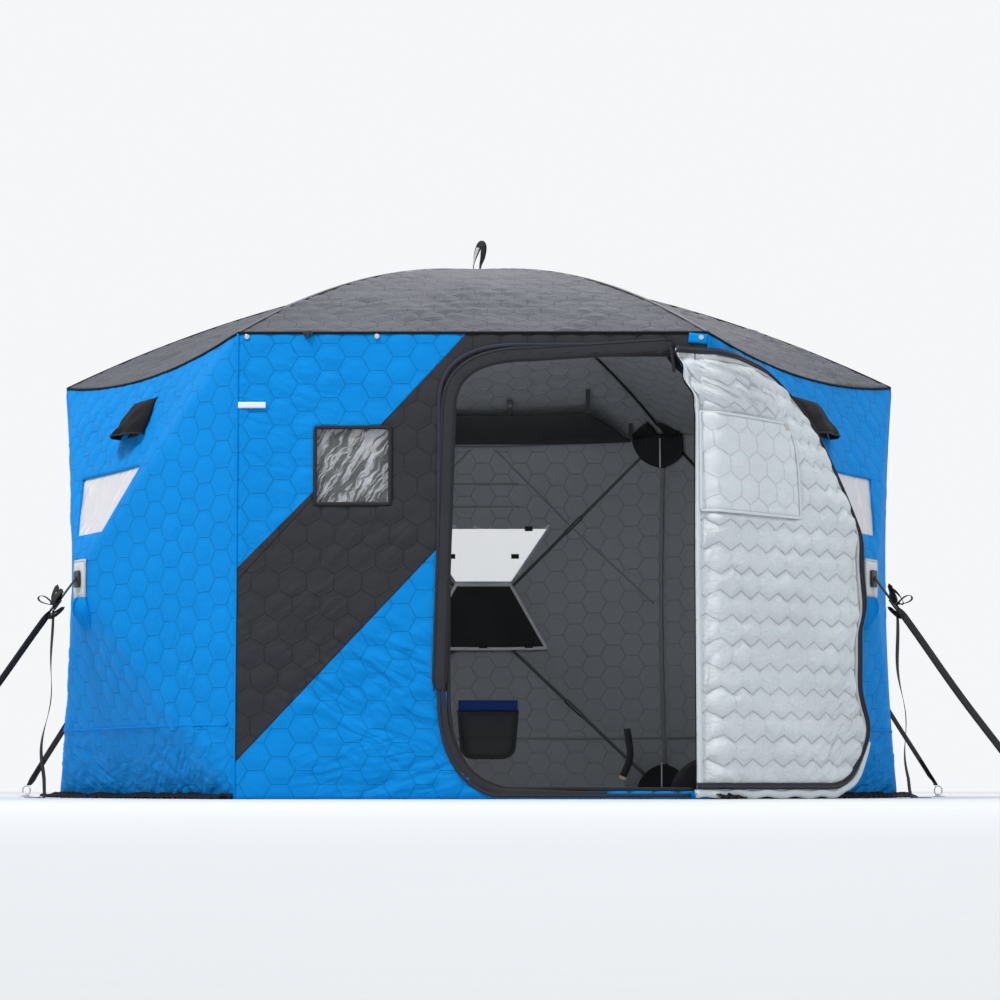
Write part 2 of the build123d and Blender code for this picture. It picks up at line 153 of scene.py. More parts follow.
# Node helpers
class Shader:
    """A node material, built up by short calls."""

    def __init__(self, name, **settings):
        self.material = bpy.data.materials.new(name)
        self.material.use_nodes = True
        self.tree = self.material.node_tree
        self.tree.nodes.clear()
        self.output = self.tree.nodes.new("ShaderNodeOutputMaterial")
        self.surface = self.tree.nodes.new("ShaderNodeBsdfPrincipled")
        self.tree.links.new(self.surface.outputs["BSDF"], self.output.inputs["Surface"])
        for label, value in settings.items():
            label = label.replace("_", " ").title().replace("Ior", "IOR")
            self.surface.inputs[label].default_value = value

    def put(self, value, socket):
        if isinstance(value, bpy.types.NodeSocket):
            self.tree.links.new(value, socket)
        elif isinstance(value, (tuple, list)) and len(socket.default_value) == 4:
            socket.default_value = (*value[:3], 1.0)
        else:
            socket.default_value = value

    def math(self, operation, *values):
        node = self.tree.nodes.new("ShaderNodeMath")
        node.operation = operation
        for value, socket in zip((*values, 0.0, 0.0)[:3], node.inputs):
            self.put(value, socket)
        return node.outputs[0]

    def times(self, first, second):
        return self.math("MULTIPLY", first, second)

    def times_plus(self, first, second, third):
        return self.math("MULTIPLY_ADD", first, second, third)

    def minus(self, first, second):
        return self.math("SUBTRACT", first, second)

    def least(self, first, second):
        return self.math("MINIMUM", first, second)

    def size(self, value):
        return self.math("ABSOLUTE", value)

    def vector(self, operation, first, second=(0, 0, 0)):
        node = self.tree.nodes.new("ShaderNodeVectorMath")
        node.operation = operation
        self.put(first, node.inputs[0])
        if node.inputs[1].enabled:
            self.put(second, node.inputs[1])
        return node.outputs["Value" if operation in ("DOT_PRODUCT", "LENGTH") else "Vector"]

    def mix(self, share, first, second, blend="MIX", kind="RGBA"):
        node = self.tree.nodes.new("ShaderNodeMix")
        node.data_type = kind
        if kind == "RGBA":
            node.blend_type = blend
        slots = {"RGBA": (6, 7, 2), "VECTOR": (4, 5, 1), "FLOAT": (2, 3, 0)}[kind]
        self.put(share, node.inputs[0])
        self.put(first, node.inputs[slots[0]])
        self.put(second, node.inputs[slots[1]])
        return node.outputs[slots[2]]

    def step(self, value, low, high):
        """Smooth step: 0 below low, 1 above high."""
        node = self.tree.nodes.new("ShaderNodeMapRange")
        node.interpolation_type = "SMOOTHSTEP"
        self.put(value, node.inputs["Value"])
        node.inputs["From Min"].default_value = low
        node.inputs["From Max"].default_value = high
        return node.outputs["Result"]

    def uv(self):
        return self.tree.nodes.new("ShaderNodeUVMap").outputs["UV"]

    def place(self):
        return self.tree.nodes.new("ShaderNodeTexCoord").outputs["Object"]

    def scaled(self, vector, x, y, z=1.0):
        return self.vector("MULTIPLY", vector, (x, y, z))

    def noise(self, vector, scale, detail=2.0, roughness=0.5):
        node = self.tree.nodes.new("ShaderNodeTexNoise")
        self.put(vector, node.inputs["Vector"])
        node.inputs["Scale"].default_value = scale
        node.inputs["Detail"].default_value = detail
        node.inputs["Roughness"].default_value = roughness
        return node.outputs["Fac"]

    def parts(self, vector):
        node = self.tree.nodes.new("ShaderNodeSeparateXYZ")
        self.put(vector, node.inputs[0])
        return node.outputs

    def joined(self, x, y, z=0.0):
        node = self.tree.nodes.new("ShaderNodeCombineXYZ")
        for value, socket in zip((x, y, z), node.inputs):
            self.put(value, socket)
        return node.outputs[0]

    def bump(self, height, distance, below=None):
        node = self.tree.nodes.new("ShaderNodeBump")
        node.inputs["Distance"].default_value = distance
        self.put(height, node.inputs["Height"])
        if below is not None:
            self.tree.links.new(below, node.inputs["Normal"])
        return node.outputs["Normal"]

    def finish(self, colour, roughness, normal, shade=None):
        """Join up the surface; shade darkens or lightens the colour."""
        if shade is not None:
            colour = self.mix(1.0, colour, self.joined(shade, shade, shade), blend="MULTIPLY")
        for value, label in ((colour, "Base Color"), (roughness, "Roughness"), (normal, "Normal")):
            self.put(value, self.surface.inputs[label])
        return self.material


def stitch_distance(shader, cloth, flat_top, waved=False):
    """Distance in metres from the nearest stitched line of the six-sided quilting."""
    pitch = HEX * math.sqrt(3)
    x, y, _ = shader.parts(cloth)
    turned = shader.joined(y, x) if flat_top else shader.joined(x, y)
    cell = (1.0, math.sqrt(3), 1.0)
    half = (0.5, math.sqrt(3) / 2, 0.0)
    far = (40.0, 40 * math.sqrt(3), 0.5)
    point = shader.vector("ADD", shader.scaled(turned, 1 / pitch, 1 / pitch, 0), far)
    choices = []
    for start in (point, shader.vector("SUBTRACT", point, half)):
        wrapped = shader.vector("SUBTRACT", shader.vector("MODULO", start, cell), half)
        choices.append(shader.vector("MULTIPLY", wrapped, (1, 1, 0)))
    sizes = [shader.vector("DOT_PRODUCT", choice, choice) for choice in choices]
    nearest = shader.math("GREATER_THAN", *sizes)
    inside = shader.vector("ABSOLUTE", shader.mix(nearest, *choices, kind="VECTOR"))
    rows = shader.minus(0.5, shader.vector("DOT_PRODUCT", inside, half))
    across = shader.minus(0.5, shader.parts(inside)[0])
    if waved:
        across = shader.times_plus(across, 1.6, 0.12)
    return shader.times(shader.least(rows, across), pitch)


def weave(shader, cloth, below, pitch=0.0016):
    """Fine plain weave, as a bump on what lies below."""
    threads = [shader.math("SINE", shader.times(way, 2 * math.pi / pitch))
               for way in shader.parts(cloth)[:2]]
    return shader.bump(shader.times(*threads), 0.00015, below)


def pulled(shader, cloth, centre, radius, lean):
    """Long creases that run one way over a part of a panel."""
    x, y, _ = shader.parts(cloth)
    turn = math.radians(lean)
    cosine, sine = math.cos(turn), math.sin(turn)
    along = shader.times_plus(x, cosine, shader.times(y, sine))
    across = shader.times_plus(y, cosine, shader.times(x, -sine))
    bent = shader.times_plus(shader.noise(cloth, 7.0, 2.0), 0.05, across)
    spot = shader.joined(shader.times(along, 0.28), bent)
    folds = shader.least(shader.size(shader.minus(shader.noise(spot, 13.0, 2.0, 0.45), 0.5)), 0.14)
    aside = shader.times_plus(x, 1 / radius[0], -centre[0] / radius[0])
    up = shader.times_plus(y, 1 / radius[1], -centre[1] / radius[1])
    away = shader.vector("LENGTH", shader.joined(aside, up))
    return shader.times(folds, shader.minus(1.0, shader.step(away, 0.4, 1.0)))


def sharp_folds(shader, cloth):
    """Thin creases with flat cloth between them."""
    folds = []
    for scale, share in ((11.0, 1.0), (27.0, 0.5)):
        wave = shader.noise(shader.scaled(cloth, 1.0, 1.5), scale, 3.0, 0.5)
        folds.append(shader.times(shader.least(shader.size(shader.minus(wave, 0.5)), 0.07), share))
    return shader.math("ADD", *folds)


def quilt(shader, colour, away, line=0.8, roughness=0.62, pucker=0.0022, crinkle=2.0, zones=(),
          seam=None):
    """Finish quilted cloth: soft changes of colour, stitched lines darkened partly for the thread and
    partly as painted shade in their grooves, puckers beside them and creases. away is the distance
    from the stitching, and seam is 0 in the middle of a seam."""
    cloth = shader.uv()
    thread = shader.step(away, 0.0002, 0.003)
    near = shader.minus(1.0, shader.step(away, 0.002, 0.016))
    fine = shader.noise(cloth, 60.0, 3.0, 0.6)
    shade = shader.times_plus(shader.noise(cloth, 2.6, 3.0), 0.22, 0.89)
    shade = shader.times(shade, shader.times_plus(fine, 0.1, 0.95))
    # painted shade: the stitched lines are darkened partly for their thread, partly for the shade in
    # their grooves
    shade = shader.times(shade, shader.times_plus(thread, 1 - line, line))
    height = shader.times(shader.noise(shader.scaled(cloth, 1.0, 1.7), 95.0, 3.0, 0.55), near)
    height = shader.times_plus(thread, 0.7, height)
    if seam is not None:
        shade = shader.times(shade, shader.times_plus(seam, 0.4, 0.6))
        height = shader.times_plus(seam, 1.2, height)
    creases = shader.noise(shader.scaled(cloth, 1.0, 0.5), 9.0, 4.0, 0.6)
    height = shader.times_plus(creases, 0.8, height)
    height = shader.times_plus(sharp_folds(shader, cloth), crinkle, height)
    for centre, radius, lean, depth in zones:
        height = shader.times_plus(pulled(shader, cloth, centre, radius, lean), depth, height)
    normal = weave(shader, cloth, shader.bump(height, pucker))
    return shader.finish(colour, shader.times_plus(fine, 0.16, roughness - 0.08), normal, shade)


def quilted(name, colour, flat_top=True, waved=False, **settings):
    shader = Shader(name, specular_ior_level=0.1)
    away = stitch_distance(shader, shader.uv(), flat_top, waved)
    return quilt(shader, colour, away, **settings)


def woven(name, colour, spread=0.2):
    """Plain cloth or webbing with a fine ribbed weave."""
    shader = Shader(name, specular_ior_level=0.08)
    cloth = shader.place()
    rib, soft = shader.noise(cloth, 1 / 0.0015, 2.0, 0.6), shader.noise(cloth, 14.0, 3.0)
    shade = shader.times_plus(soft, spread, 1 - spread / 2)
    shade = shader.times(shade, shader.times_plus(rib, 0.5, 0.75))
    normal = shader.bump(rib, 0.0004, shader.bump(soft, 0.002))
    return shader.finish(colour, shader.times_plus(rib, 0.2, 0.6), normal, shade)


def ribbed(name, colour, pitch=0.003):
    """Webbing and zip tape: ribs across the length, which is V of the UV map."""
    shader = Shader(name, specular_ior_level=0.3)
    x, y, _ = shader.parts(shader.uv())
    across = shader.math("SINE", shader.times(y, 2 * math.pi / pitch))
    along = shader.math("SINE", shader.times(x, 2 * math.pi / (1.6 * pitch)))
    rib = shader.times_plus(across, 0.35, shader.times(along, 0.15))
    soft = shader.noise(shader.place(), 20.0, 3.0)
    shade = shader.times_plus(rib, 0.3, shader.times_plus(soft, 0.4, 0.8))
    return shader.finish(colour, 0.6, shader.bump(rib, 0.0004), shade)


def moulded(name, colour, roughness=0.45, grain=420.0, spread=0.15, **settings):
    """Moulded plastic or painted metal with a fine grain and a little wear."""
    shader = Shader(name, **settings)
    place = shader.place()
    worn = shader.noise(place, 30.0, 4.0, 0.7)
    shade = shader.times_plus(worn, spread, 1 - spread / 2)
    normal = shader.bump(shader.noise(place, grain, 2.0), 0.0002)
    return shader.finish(colour, shader.times_plus(worn, 0.25, roughness - 0.12), normal, shade)


# Materials
BLUE = (0.0, 0.25, 0.70)
ROOF_GREY = (0.098, 0.10, 0.118)
BAND_GREY = (0.036, 0.036, 0.041)
BLACK = (0.012, 0.012, 0.014)
NET_BLACK = (0.006, 0.006, 0.007)

# Corners of the slanted band on the front wall, as (x, z) in metres
BAND_UPPER = ((-0.796, 0.733), (-0.24, 1.339), (-0.009, 1.572))
BAND_LOWER = ((-0.781, 0.14), (-0.134, 0.827))
SILL_TOP = 0.36

# Where the cloth is pulled into creases: centre, reach, lean in degrees, depth
FRONT_ZONES = (
    ((-0.28, 0.36), (0.36, 0.34), -30, 26), ((-0.3, 0.08), (0.4, 0.16), 14, 26),
    ((-0.6, 0.62), (0.3, 0.3), 40, 12), ((-0.62, 1.3), (0.28, 0.34), -14, 9),
    ((-0.35, 0.88), (0.3, 0.14), 42, 10),
)
WALL_ZONES = (
    ((-0.5, 0.1), (0.45, 0.22), -24, 24), ((0.45, 0.1), (0.45, 0.22), 24, 24),
    ((0.0, 0.05), (0.5, 0.14), 6, 16), ((0.0, 1.42), (0.7, 0.14), 3, 10),
    ((-0.55, 0.6), (0.25, 0.5), -70, 8), ((0.55, 0.6), (0.25, 0.5), 70, 8),
)
LEAF_ZONES = (
    ((0.2, 1.4), (0.36, 0.13), -22, 22), ((0.72, 0.2), (0.3, 0.3), 38, 16),
    ((0.84, 0.8), (0.12, 0.6), 82, 14), ((0.08, 0.7), (0.14, 0.8), 80, 9),
)


def front_paint():
    """Blue front with the slanted dark band and the dark header, split by sewn seams."""
    shader = Shader("front_cloth", specular_ior_level=0.1)
    cloth = shader.uv()
    x, z, _ = shader.parts(cloth)

    def above(first, second):
        """Distance to the upper left of a line through two points of the wall."""
        (x1, z1), (x2, z2) = first, second
        run, rise = x2 - x1, z2 - z1
        size = math.hypot(run, rise)
        side = shader.times_plus(z, run / size, shader.times(x, -rise / size))
        return shader.math("ADD", side, (x1 * rise - z1 * run) / size)

    def sharp(distance, soft_edge=0.0012):
        return shader.step(distance, -soft_edge, soft_edge)

    upper, lower = above(*BAND_UPPER[:2]), above(*BAND_LOWER)
    blue_above = shader.times(sharp(upper), sharp(above(*BAND_UPPER[1:])))
    left_of_door = shader.math("LESS_THAN", x, DOOR["left"] - 0.012)
    low = shader.math("MAXIMUM", left_of_door, shader.math("LESS_THAN", z, SILL_TOP))
    blue_below = shader.times(shader.minus(1.0, sharp(lower)), low)
    blue = shader.math("MAXIMUM", blue_above, blue_below)
    seam = shader.step(shader.least(shader.size(upper), shader.size(lower)), 0.0, 0.004)
    away = shader.mix(blue, stitch_distance(shader, cloth, False),
                      stitch_distance(shader, cloth, True), kind="FLOAT")
    return quilt(shader, shader.mix(blue, BAND_GREY, BLUE), away, pucker=0.002, crinkle=3.0,
                 zones=FRONT_ZONES, seam=seam)


def clear_film(name, base, solid, crinkled=False):
    """Clear vinyl, lightly clouded, with long or crushed creases and painted highlights along them.
    """
    shader = Shader(name, roughness=0.2, ior=1.5)
    cloth = shader.uv()
    x, y, _ = shader.parts(cloth)
    lean = shader.times_plus(x, 0.55, shader.times(y, 0.83))
    aside = shader.times_plus(x, 0.83, shader.times(y, -0.55))
    bend = shader.times_plus(shader.noise(cloth, 11.0, 2.0), 0.06, aside)
    streaks = shader.scaled(shader.joined(lean, bend), 0.3, 1.7)
    wide = shader.noise(streaks, 14.0 if crinkled else 4.0, 4.0, 0.65)
    fine = shader.noise(shader.scaled(cloth, 1.6, 1.0), 42.0 if crinkled else 12.0, 3.0, 0.6)
    ridges = shader.size(shader.minus(wide, 0.5))
    # painted highlight: pale glints along the crests of the creases
    glint = shader.minus(1.0, shader.step(ridges, 0.0, 0.05 if crinkled else 0.02))
    tone = shader.mix(shader.times(glint, 0.55), base, (0.95, 0.95, 0.96))
    if crinkled:
        # painted reflection: large pale patches over the crinkled film
        patches = shader.step(shader.noise(streaks, 13.0, 5.0, 0.6), 0.5, 0.56)
        tone = shader.mix(shader.times(patches, 0.75), tone, (0.72, 0.75, 0.79))
    shader.surface.inputs["Alpha"].default_value = solid
    normal = shader.bump(shader.times_plus(fine, 0.4, wide), 0.02 if crinkled else 0.01)
    return shader.finish(tone, shader.times_plus(fine, 0.2, 0.12), normal)


def netting(name, pitch, wire):
    """Open mesh: threads both ways, nothing between them."""
    shader = Shader(name, roughness=0.7)
    gaps = []
    for way in shader.parts(shader.uv())[:2]:
        share = shader.math("FRACT", shader.math("ADD", shader.math("DIVIDE", way, pitch), 90.0))
        gaps.append(shader.math("GREATER_THAN", share, wire))
    soft = shader.noise(shader.place(), 9.0, 3.0)
    tone = shader.mix(soft, NET_BLACK, tuple(1.8 * part for part in NET_BLACK))
    shader.put(shader.minus(1.0, shader.times(*gaps)), shader.surface.inputs["Alpha"])
    return shader.finish(tone, 0.7, shader.bump(soft, 0.003))


paint = {
    "blue": quilted("blue_cloth", BLUE, zones=WALL_ZONES),
    "roof": quilted("roof_cloth", ROOF_GREY, flat_top=False, roughness=0.58, crinkle=7.0),
    # painted shade: the lining inside is the same pale cloth as the door's lining, its colour
    # darkened for the shade inside the hut
    "lining": quilted("painted_shade_lining_cloth", (0.16, 0.17, 0.18), roughness=0.75),
    "door_lining": quilted("door_lining", (0.70, 0.73, 0.755), flat_top=False, waved=True,
                           line=0.95, roughness=0.5, pucker=0.004, crinkle=5.0,
                           zones=LEAF_ZONES),
    "pale_quilt": quilted("pale_quilt", (0.72, 0.75, 0.775), flat_top=False, line=0.9,
                          roughness=0.5),
    "front": front_paint(),
    "film": clear_film("window_film", (0.70, 0.68, 0.71), 0.88),
    "clear_film": clear_film("rear_window_film", (0.8, 0.8, 0.82), 0.24),
    "crinkled": clear_film("crinkled_film", (0.13, 0.135, 0.14), 0.55, crinkled=True),
    "plain_black": woven("black_cloth", BLACK),
    "plain_blue": woven("plain_blue_cloth", BLUE),
    "plain_grey": woven("grey_cloth", (0.25, 0.26, 0.27)),
    "plain_roof": woven("plain_roof_cloth", ROOF_GREY),
    "hood": woven("hood_cloth", BLACK, spread=0.5),
    "flap": woven("flap_cloth", BAND_GREY, spread=0.3),
    "pale": woven("pale_cloth", (0.66, 0.69, 0.71)),
    "navy": woven("navy_cloth", (0.01, 0.03, 0.15)),
    "skirt": woven("skirt_cloth", (0.015, 0.016, 0.02), spread=0.5),
    "beige": woven("beige_tip", (0.55, 0.42, 0.25)),
    "binding": ribbed("binding_tape", BLACK, pitch=0.0022),
    "zip": ribbed("zip_tape", (0.018, 0.023, 0.04)),
    "webbing": ribbed("webbing", (0.01, 0.01, 0.012), pitch=0.004),
    "roof_tape": ribbed("roof_tape", ROOF_GREY),
    "cover_edge": ribbed("cover_edge", (0.3, 0.3, 0.31)),
    "seam_tape": ribbed("seam_tape", (0.1, 0.105, 0.11)),
    "pale_tape": ribbed("pale_tape", (0.5, 0.5, 0.5), pitch=0.0022),
    "silver": moulded("reflective_patch", (0.62, 0.65, 0.68), roughness=0.4, grain=900.0,
                      spread=0.3),
    "glow": moulded("reflective_strip", (0.74, 0.78, 0.81), roughness=0.35),
    "plastic": moulded("black_plastic", BLACK),
    "pole": moulded("pole_rod", NET_BLACK, roughness=0.4),
    "ferrule": moulded("ferrule", (0.012, 0.012, 0.013), roughness=0.4),
    "steel": moulded("plated_steel", (0.55, 0.56, 0.58), roughness=0.35, metallic=1.0,
                     spread=0.4),
    "net": netting("net_mesh", 0.004, 0.62),
    "pocket_mesh": netting("pocket_mesh", 0.0032, 0.7),
}


# Meshes, and cloth in two dimensions: x along the panel, y up
def built(name, points, faces, looks, body="root", uvs=None, sides=None):
    """Smooth mesh that rides on a body, with its UV map in metres of cloth."""
    mesh = bpy.data.meshes.new(name)
    mesh.from_pydata(np.asarray(points).tolist(), [], faces)
    for look in looks:
        mesh.materials.append(paint[look])
    if sides is not None:
        mesh.polygons.foreach_set("material_index", sides)
    if uvs is not None:
        layer = mesh.uv_layers.new(name="cloth")
        corners = np.zeros(len(mesh.loops), int)
        mesh.loops.foreach_get("vertex_index", corners)
        layer.data.foreach_set("uv", uvs[corners].ravel())
    mesh.polygons.foreach_set("use_smooth", [True] * len(faces))
    mesh.update()
    thing = bpy.data.objects.new(name, mesh)
    bpy.context.scene.collection.objects.link(thing)
    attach(thing, body)
    return thing


def sewn(slot, *things, instead_of=()):
    """Hide the CAD nodes that some pieces replace; the slot and the pieces are not used."""
    if instead_of:
        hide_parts(*instead_of)


def smooth(value, low, high):
    share = np.clip((value - low) / (high - low), 0, 1)
    return share * share * (3 - 2 * share)


def ripple(points, size, depth, seed):
    """Gentle seeded waves over a set of points."""
    away = Vector((seed * 7.3, seed * 3.1, seed * 1.7))
    return depth * np.array([noise.noise(Vector(point) / size + away) for point in points])


def stitch_gap(x, y, flat_top, waved=False):
    """Distance from the nearest stitched line, as the materials draw it.
    Waved quilting has rows of zigzag rolls, with only faint lines across them."""
    pitch = HEX * math.sqrt(3)
    point = np.stack([y, x] if flat_top else [x, y], -1) / pitch
    cell, half = np.array([1.0, math.sqrt(3)]), np.array([0.5, math.sqrt(3) / 2])
    first = np.mod(point, cell) - half
    second = np.mod(point - half, cell) - half
    nearer = (first**2).sum(-1) > (second**2).sum(-1)
    inside = np.abs(np.where(nearer[..., None], second, first))
    rows, across = 0.5 - inside @ half, 0.5 - inside[..., 0]
    if waved:
        across = across * 1.6 + 0.12
    return np.minimum(rows, across) * pitch


def pillow(x, y, flat_top, height=0.006, waved=False):
    """How far the padding stands out between its stitched lines."""
    share = np.clip(stitch_gap(x, y, flat_top, waved) / 0.032, 0, 1)
    return height * (1 - (1 - share) ** 2)


def creases(x, y, centre, radius, lean, seed, height=0.006):
    """Long folds that run one way over a part of a panel, with round backs."""
    turn = math.radians(lean)
    u, v = x * math.cos(turn) + y * math.sin(turn), y * math.cos(turn) - x * math.sin(turn)
    spread = np.stack([u / 3.2, v, 0 * u], -1)
    folds = ripple(spread, 0.05, 1.0, seed) + ripple(spread, 0.027, 0.4, seed + 2)
    near = np.exp(-((x - centre[0]) / radius[0]) ** 2 - ((y - centre[1]) / radius[1]) ** 2)
    return height * np.clip(0.5 - np.abs(folds) * 1.6, -0.2, 0.5) * near


def wrinkles(flat, seed):
    """Small slanting creases of unquilted cloth that is pulled at its edges."""
    spread = np.stack([flat[:, 0], flat[:, 1] * 2.2, 0 * flat[:, 0]], -1)
    small = ripple(spread, 0.045, 0.006, seed + 31) + ripple(spread, 0.02, 0.002, seed + 33)
    return np.abs(small) + 0.001


def lattice(low, high, flat_top, spacing):
    """Points of an even triangle lattice that falls on the corners of the quilting."""
    rise = spacing * math.sqrt(3) / 2
    low, high = (low[::-1], high[::-1]) if flat_top else (low, high)
    points = []
    for row in range(math.floor(low[1] / spacing) - 1, math.ceil(high[1] / spacing) + 2):
        for column in range(math.floor(low[0] / rise) - 1, math.ceil(high[0] / rise) + 2):
            points.append((column * rise, (row + 0.5 * (column % 2)) * spacing))
    points = np.array(points)
    return points[:, ::-1] if flat_top else points


def inside_loop(points, loop):
    """Which points lie inside a closed outline."""
    x, y = points[:, 0], points[:, 1]
    found = np.zeros(len(points), bool)
    for (x1, y1), (x2, y2) in zip(loop, np.roll(loop, -1, axis=0)):
        crosses = (y1 > y) != (y2 > y)
        with np.errstate(divide="ignore", invalid="ignore"):
            at = (x2 - x1) * (y - y1) / (y2 - y1) + x1
        found ^= crosses & (x < at)
    return found


def spaced(loop, gap):
    """Closed outline with points no further apart than a gap."""
    result = []
    for start, end in zip(loop, np.roll(loop, -1, axis=0)):
        count = max(1, round(np.linalg.norm(end - start) / gap))
        result += [start + (end - start) * step / count for step in range(count)]
    return np.array(result)


def gap_to(points, loop):
    """Distance from each point to a closed outline."""
    best = np.full(len(points), 9.0)
    for start, end in zip(loop, np.roll(loop, -1, axis=0)):
        along = end - start
        share = np.clip(((points - start) @ along) / (along @ along), 0, 1)
        away = np.linalg.norm(points - start - share[:, None] * along, axis=1)
        best = np.minimum(best, away)
    return best


def held_in(flat, loops, width=0.014):
    """0 at sewn edges, 1 away from them."""
    away = np.min([gap_to(flat, spaced(np.array(loop, float), 1.0)) for loop in loops], axis=0)
    return np.clip(away / width, 0, 1)


def cut_cloth(outline, holes=(), flat_top=True, spacing=LATTICE):
    """Flat triangle mesh of a panel with holes: its points and its triangles."""
    loops = [np.array(loop, float) for loop in (outline, *holes)]
    fill = lattice(loops[0].min(0), loops[0].max(0), flat_top, spacing)
    fill = fill[inside_loop(fill, loops[0])]
    for hole in loops[1:]:
        fill = fill[~inside_loop(fill, hole)]
    points, edges = [], []
    for loop in loops:
        fill = fill[gap_to(fill, loop) > spacing * 0.45]
        loop = spaced(loop, spacing)
        first = len(points)
        points += list(loop)
        edges += [(first + i, first + (i + 1) % len(loop)) for i in range(len(loop))]
    points += list(fill)
    found = delaunay_2d_cdt([Vector(point) for point in points], edges, [], 0, 1e-6)
    flat = np.array([tuple(point) for point in found[0]])
    triangles = np.array(found[2])
    middle = flat[triangles].mean(1)
    keep = inside_loop(middle, loops[0])
    for hole in loops[1:]:
        keep &= ~inside_loop(middle, hole)
    used, triangles = np.unique(triangles[keep], return_inverse=True)
    return flat[used], triangles.reshape(-1, 3)


def normals_of(points, triangles):
    """Unit normals at the points of a triangle mesh."""
    corners = points[triangles]
    faces = np.cross(corners[:, 1] - corners[:, 0], corners[:, 2] - corners[:, 0])
    result = np.zeros_like(points)
    for corner in range(3):
        np.add.at(result, triangles[:, corner], faces)
    size = np.linalg.norm(result, axis=1, keepdims=True)
    return result / np.maximum(size, 1e-12)


# Width, length and area that each sheet is cut to, by its name
CUTS = {}


def shell(name, flat, triangles, outer, inner, outside, inside=None, rim=None, body="root"):
    """Closed sheet between two layers of points, with a look for each side and for the rim."""
    count = len(flat)
    a, b, c = flat[triangles].transpose(1, 0, 2)
    area = np.abs((b - a)[:, 0] * (c - a)[:, 1] - (b - a)[:, 1] * (c - a)[:, 0]).sum() / 2
    CUTS[name] = [*(float(side) for side in np.ptp(flat, axis=0)), float(area)]
    seen = {edge: True for a, b, c in triangles.tolist() for edge in ((a, b), (b, c), (c, a))}
    edges = [edge for edge in seen if edge[::-1] not in seen]
    sides = [0] * len(triangles) + [1] * len(triangles) + [2] * len(edges)
    faces = triangles.tolist()
    faces += [(a + count, c + count, b + count) for a, b, c in triangles.tolist()]
    faces += [(b, a, a + count, b + count) for a, b in edges]
    looks = outside, inside or outside, rim or outside
    return built(name, np.concatenate([outer, inner]), faces, looks, body,
                 np.concatenate([flat, flat]), sides)


def grid(rows, columns, low=-1):
    """Shares down (0 to 1) and across (low to 1) at the points of a grid."""
    down = np.linspace(0, 1, rows)[:, None] * np.ones((1, columns))
    return down, np.linspace(low, 1, columns)[None, :] * np.ones((rows, 1))


def grid_sheet(name, outer, inner, flat, *looks):
    """Closed sheet between two grids of points."""
    index = np.arange(outer[..., 0].size).reshape(outer.shape[:2])
    quads = np.stack([index[:-1, :-1], index[:-1, 1:], index[1:, 1:], index[1:, :-1]], -1)
    quads = quads.reshape(-1, 4)
    triangles = np.concatenate([quads[:, [0, 1, 2]], quads[:, [0, 2, 3]]])
    return shell(name, flat.reshape(-1, 2), triangles, outer.reshape(-1, 3),
                 inner.reshape(-1, 3), *looks)


# Hub walls
def smooth_least(first, second, soft=0.018):
    """The lower of two surfaces, with the crease between them rounded."""
    blend = np.maximum(soft - np.abs(first - second), 0) / soft
    return np.minimum(first, second) - blend**2 * soft / 4


def side_bow(wall, s, z):
    """Bow of the wall's nearer upright seam at one height. The door wall's seams are straight."""
    low, high = (0.0 if corner % 6 in (0, 1) else SEAM_BOW for corner in (wall, wall + 1))
    return np.where(s < 0, low, high) * 4 * (z / EAVE) * (1 - z / EAVE)


def wall_reach(wall, s, z):
    """How far a hub wall stands out from the line between its two feet."""
    across = np.abs(s)
    low_edge, high_edge = HUB_HEIGHT - HUB_TALL / 2, HUB_HEIGHT + HUB_TALL / 2
    hub_half = HUB_WIDE / 2
    low = z / low_edge * HUB_BULGE
    share = np.zeros_like(s)
    for _ in range(6):
        part = np.clip(across / (HALF - (HALF - hub_half) * share), 0, 1)
        eave = EAVE - EAVE_SAG * (1 - part**2)
        share = np.clip((eave - z) / (eave - high_edge), 0, 1)
    top = share * HUB_BULGE
    height = np.clip(z, 0, EAVE)
    for _ in range(8):
        bow = side_bow(wall, s, height)
        edge = HALF - bow / 2
        share = np.clip((edge - across) / (edge - hub_half), 0, 0.999)
        height = (z - share * low_edge) / (1 - share + share * HUB_TALL / EAVE)
        height = np.clip(height, 0, EAVE)
    side = share * HUB_BULGE - (1 - share) * bow * math.cos(math.radians(30))
    flat = np.full_like(s, HUB_BULGE)
    return smooth_least(smooth_least(smooth_least(top, side), low), flat, 0.006)


def on_wall(wall, s, z, out=0.0, reach=None):
    """Points of a wall in the row frame: s along it, z up, out from its skin."""
    s, z = np.asarray(s, float), np.asarray(z, float)
    if reach is None:
        reach = wall_reach(wall, s, z) if wall else 0.0
    outward, along = wall_axes(wall)
    away = np.broadcast_to(APOTHEM + reach + out, s.shape)
    points = along * s[..., None] + outward * away[..., None]
    points[..., 2] = z
    return in_row_frame(points)


def face(wall, depth=0.0, way=1):
    """Outer face of a wall, or with way -1 a face inside it, for tapes to follow."""
    return lambda s, z, out: on_wall(wall, s, z, depth + way * out)


def wall_outline(wall):
    """Outline of a wall in its own (s, z), with its bowed seams and sagging eave."""
    steps = np.linspace(0, 1, 25)
    right, left = (
        [(way * (HALF - side_bow(wall, way, z) / 2), z) for z in steps * EAVE] for way in (1, -1)
    )
    sag = EAVE_SAG if wall else 0.0
    eave = [(HALF * (1 - 2 * u), EAVE - sag * 4 * u * (1 - u)) for u in steps[1:-1]]
    return right + eave + left[::-1]


def window_loop(margin=0.0):
    top, bottom = WINDOW["wide"] / 2 + margin, WINDOW["narrow"] / 2 + margin
    low, high = WINDOW["bottom"] - margin, WINDOW["top"] + margin
    return [(-bottom, low), (bottom, low), (top, high), (-top, high)]


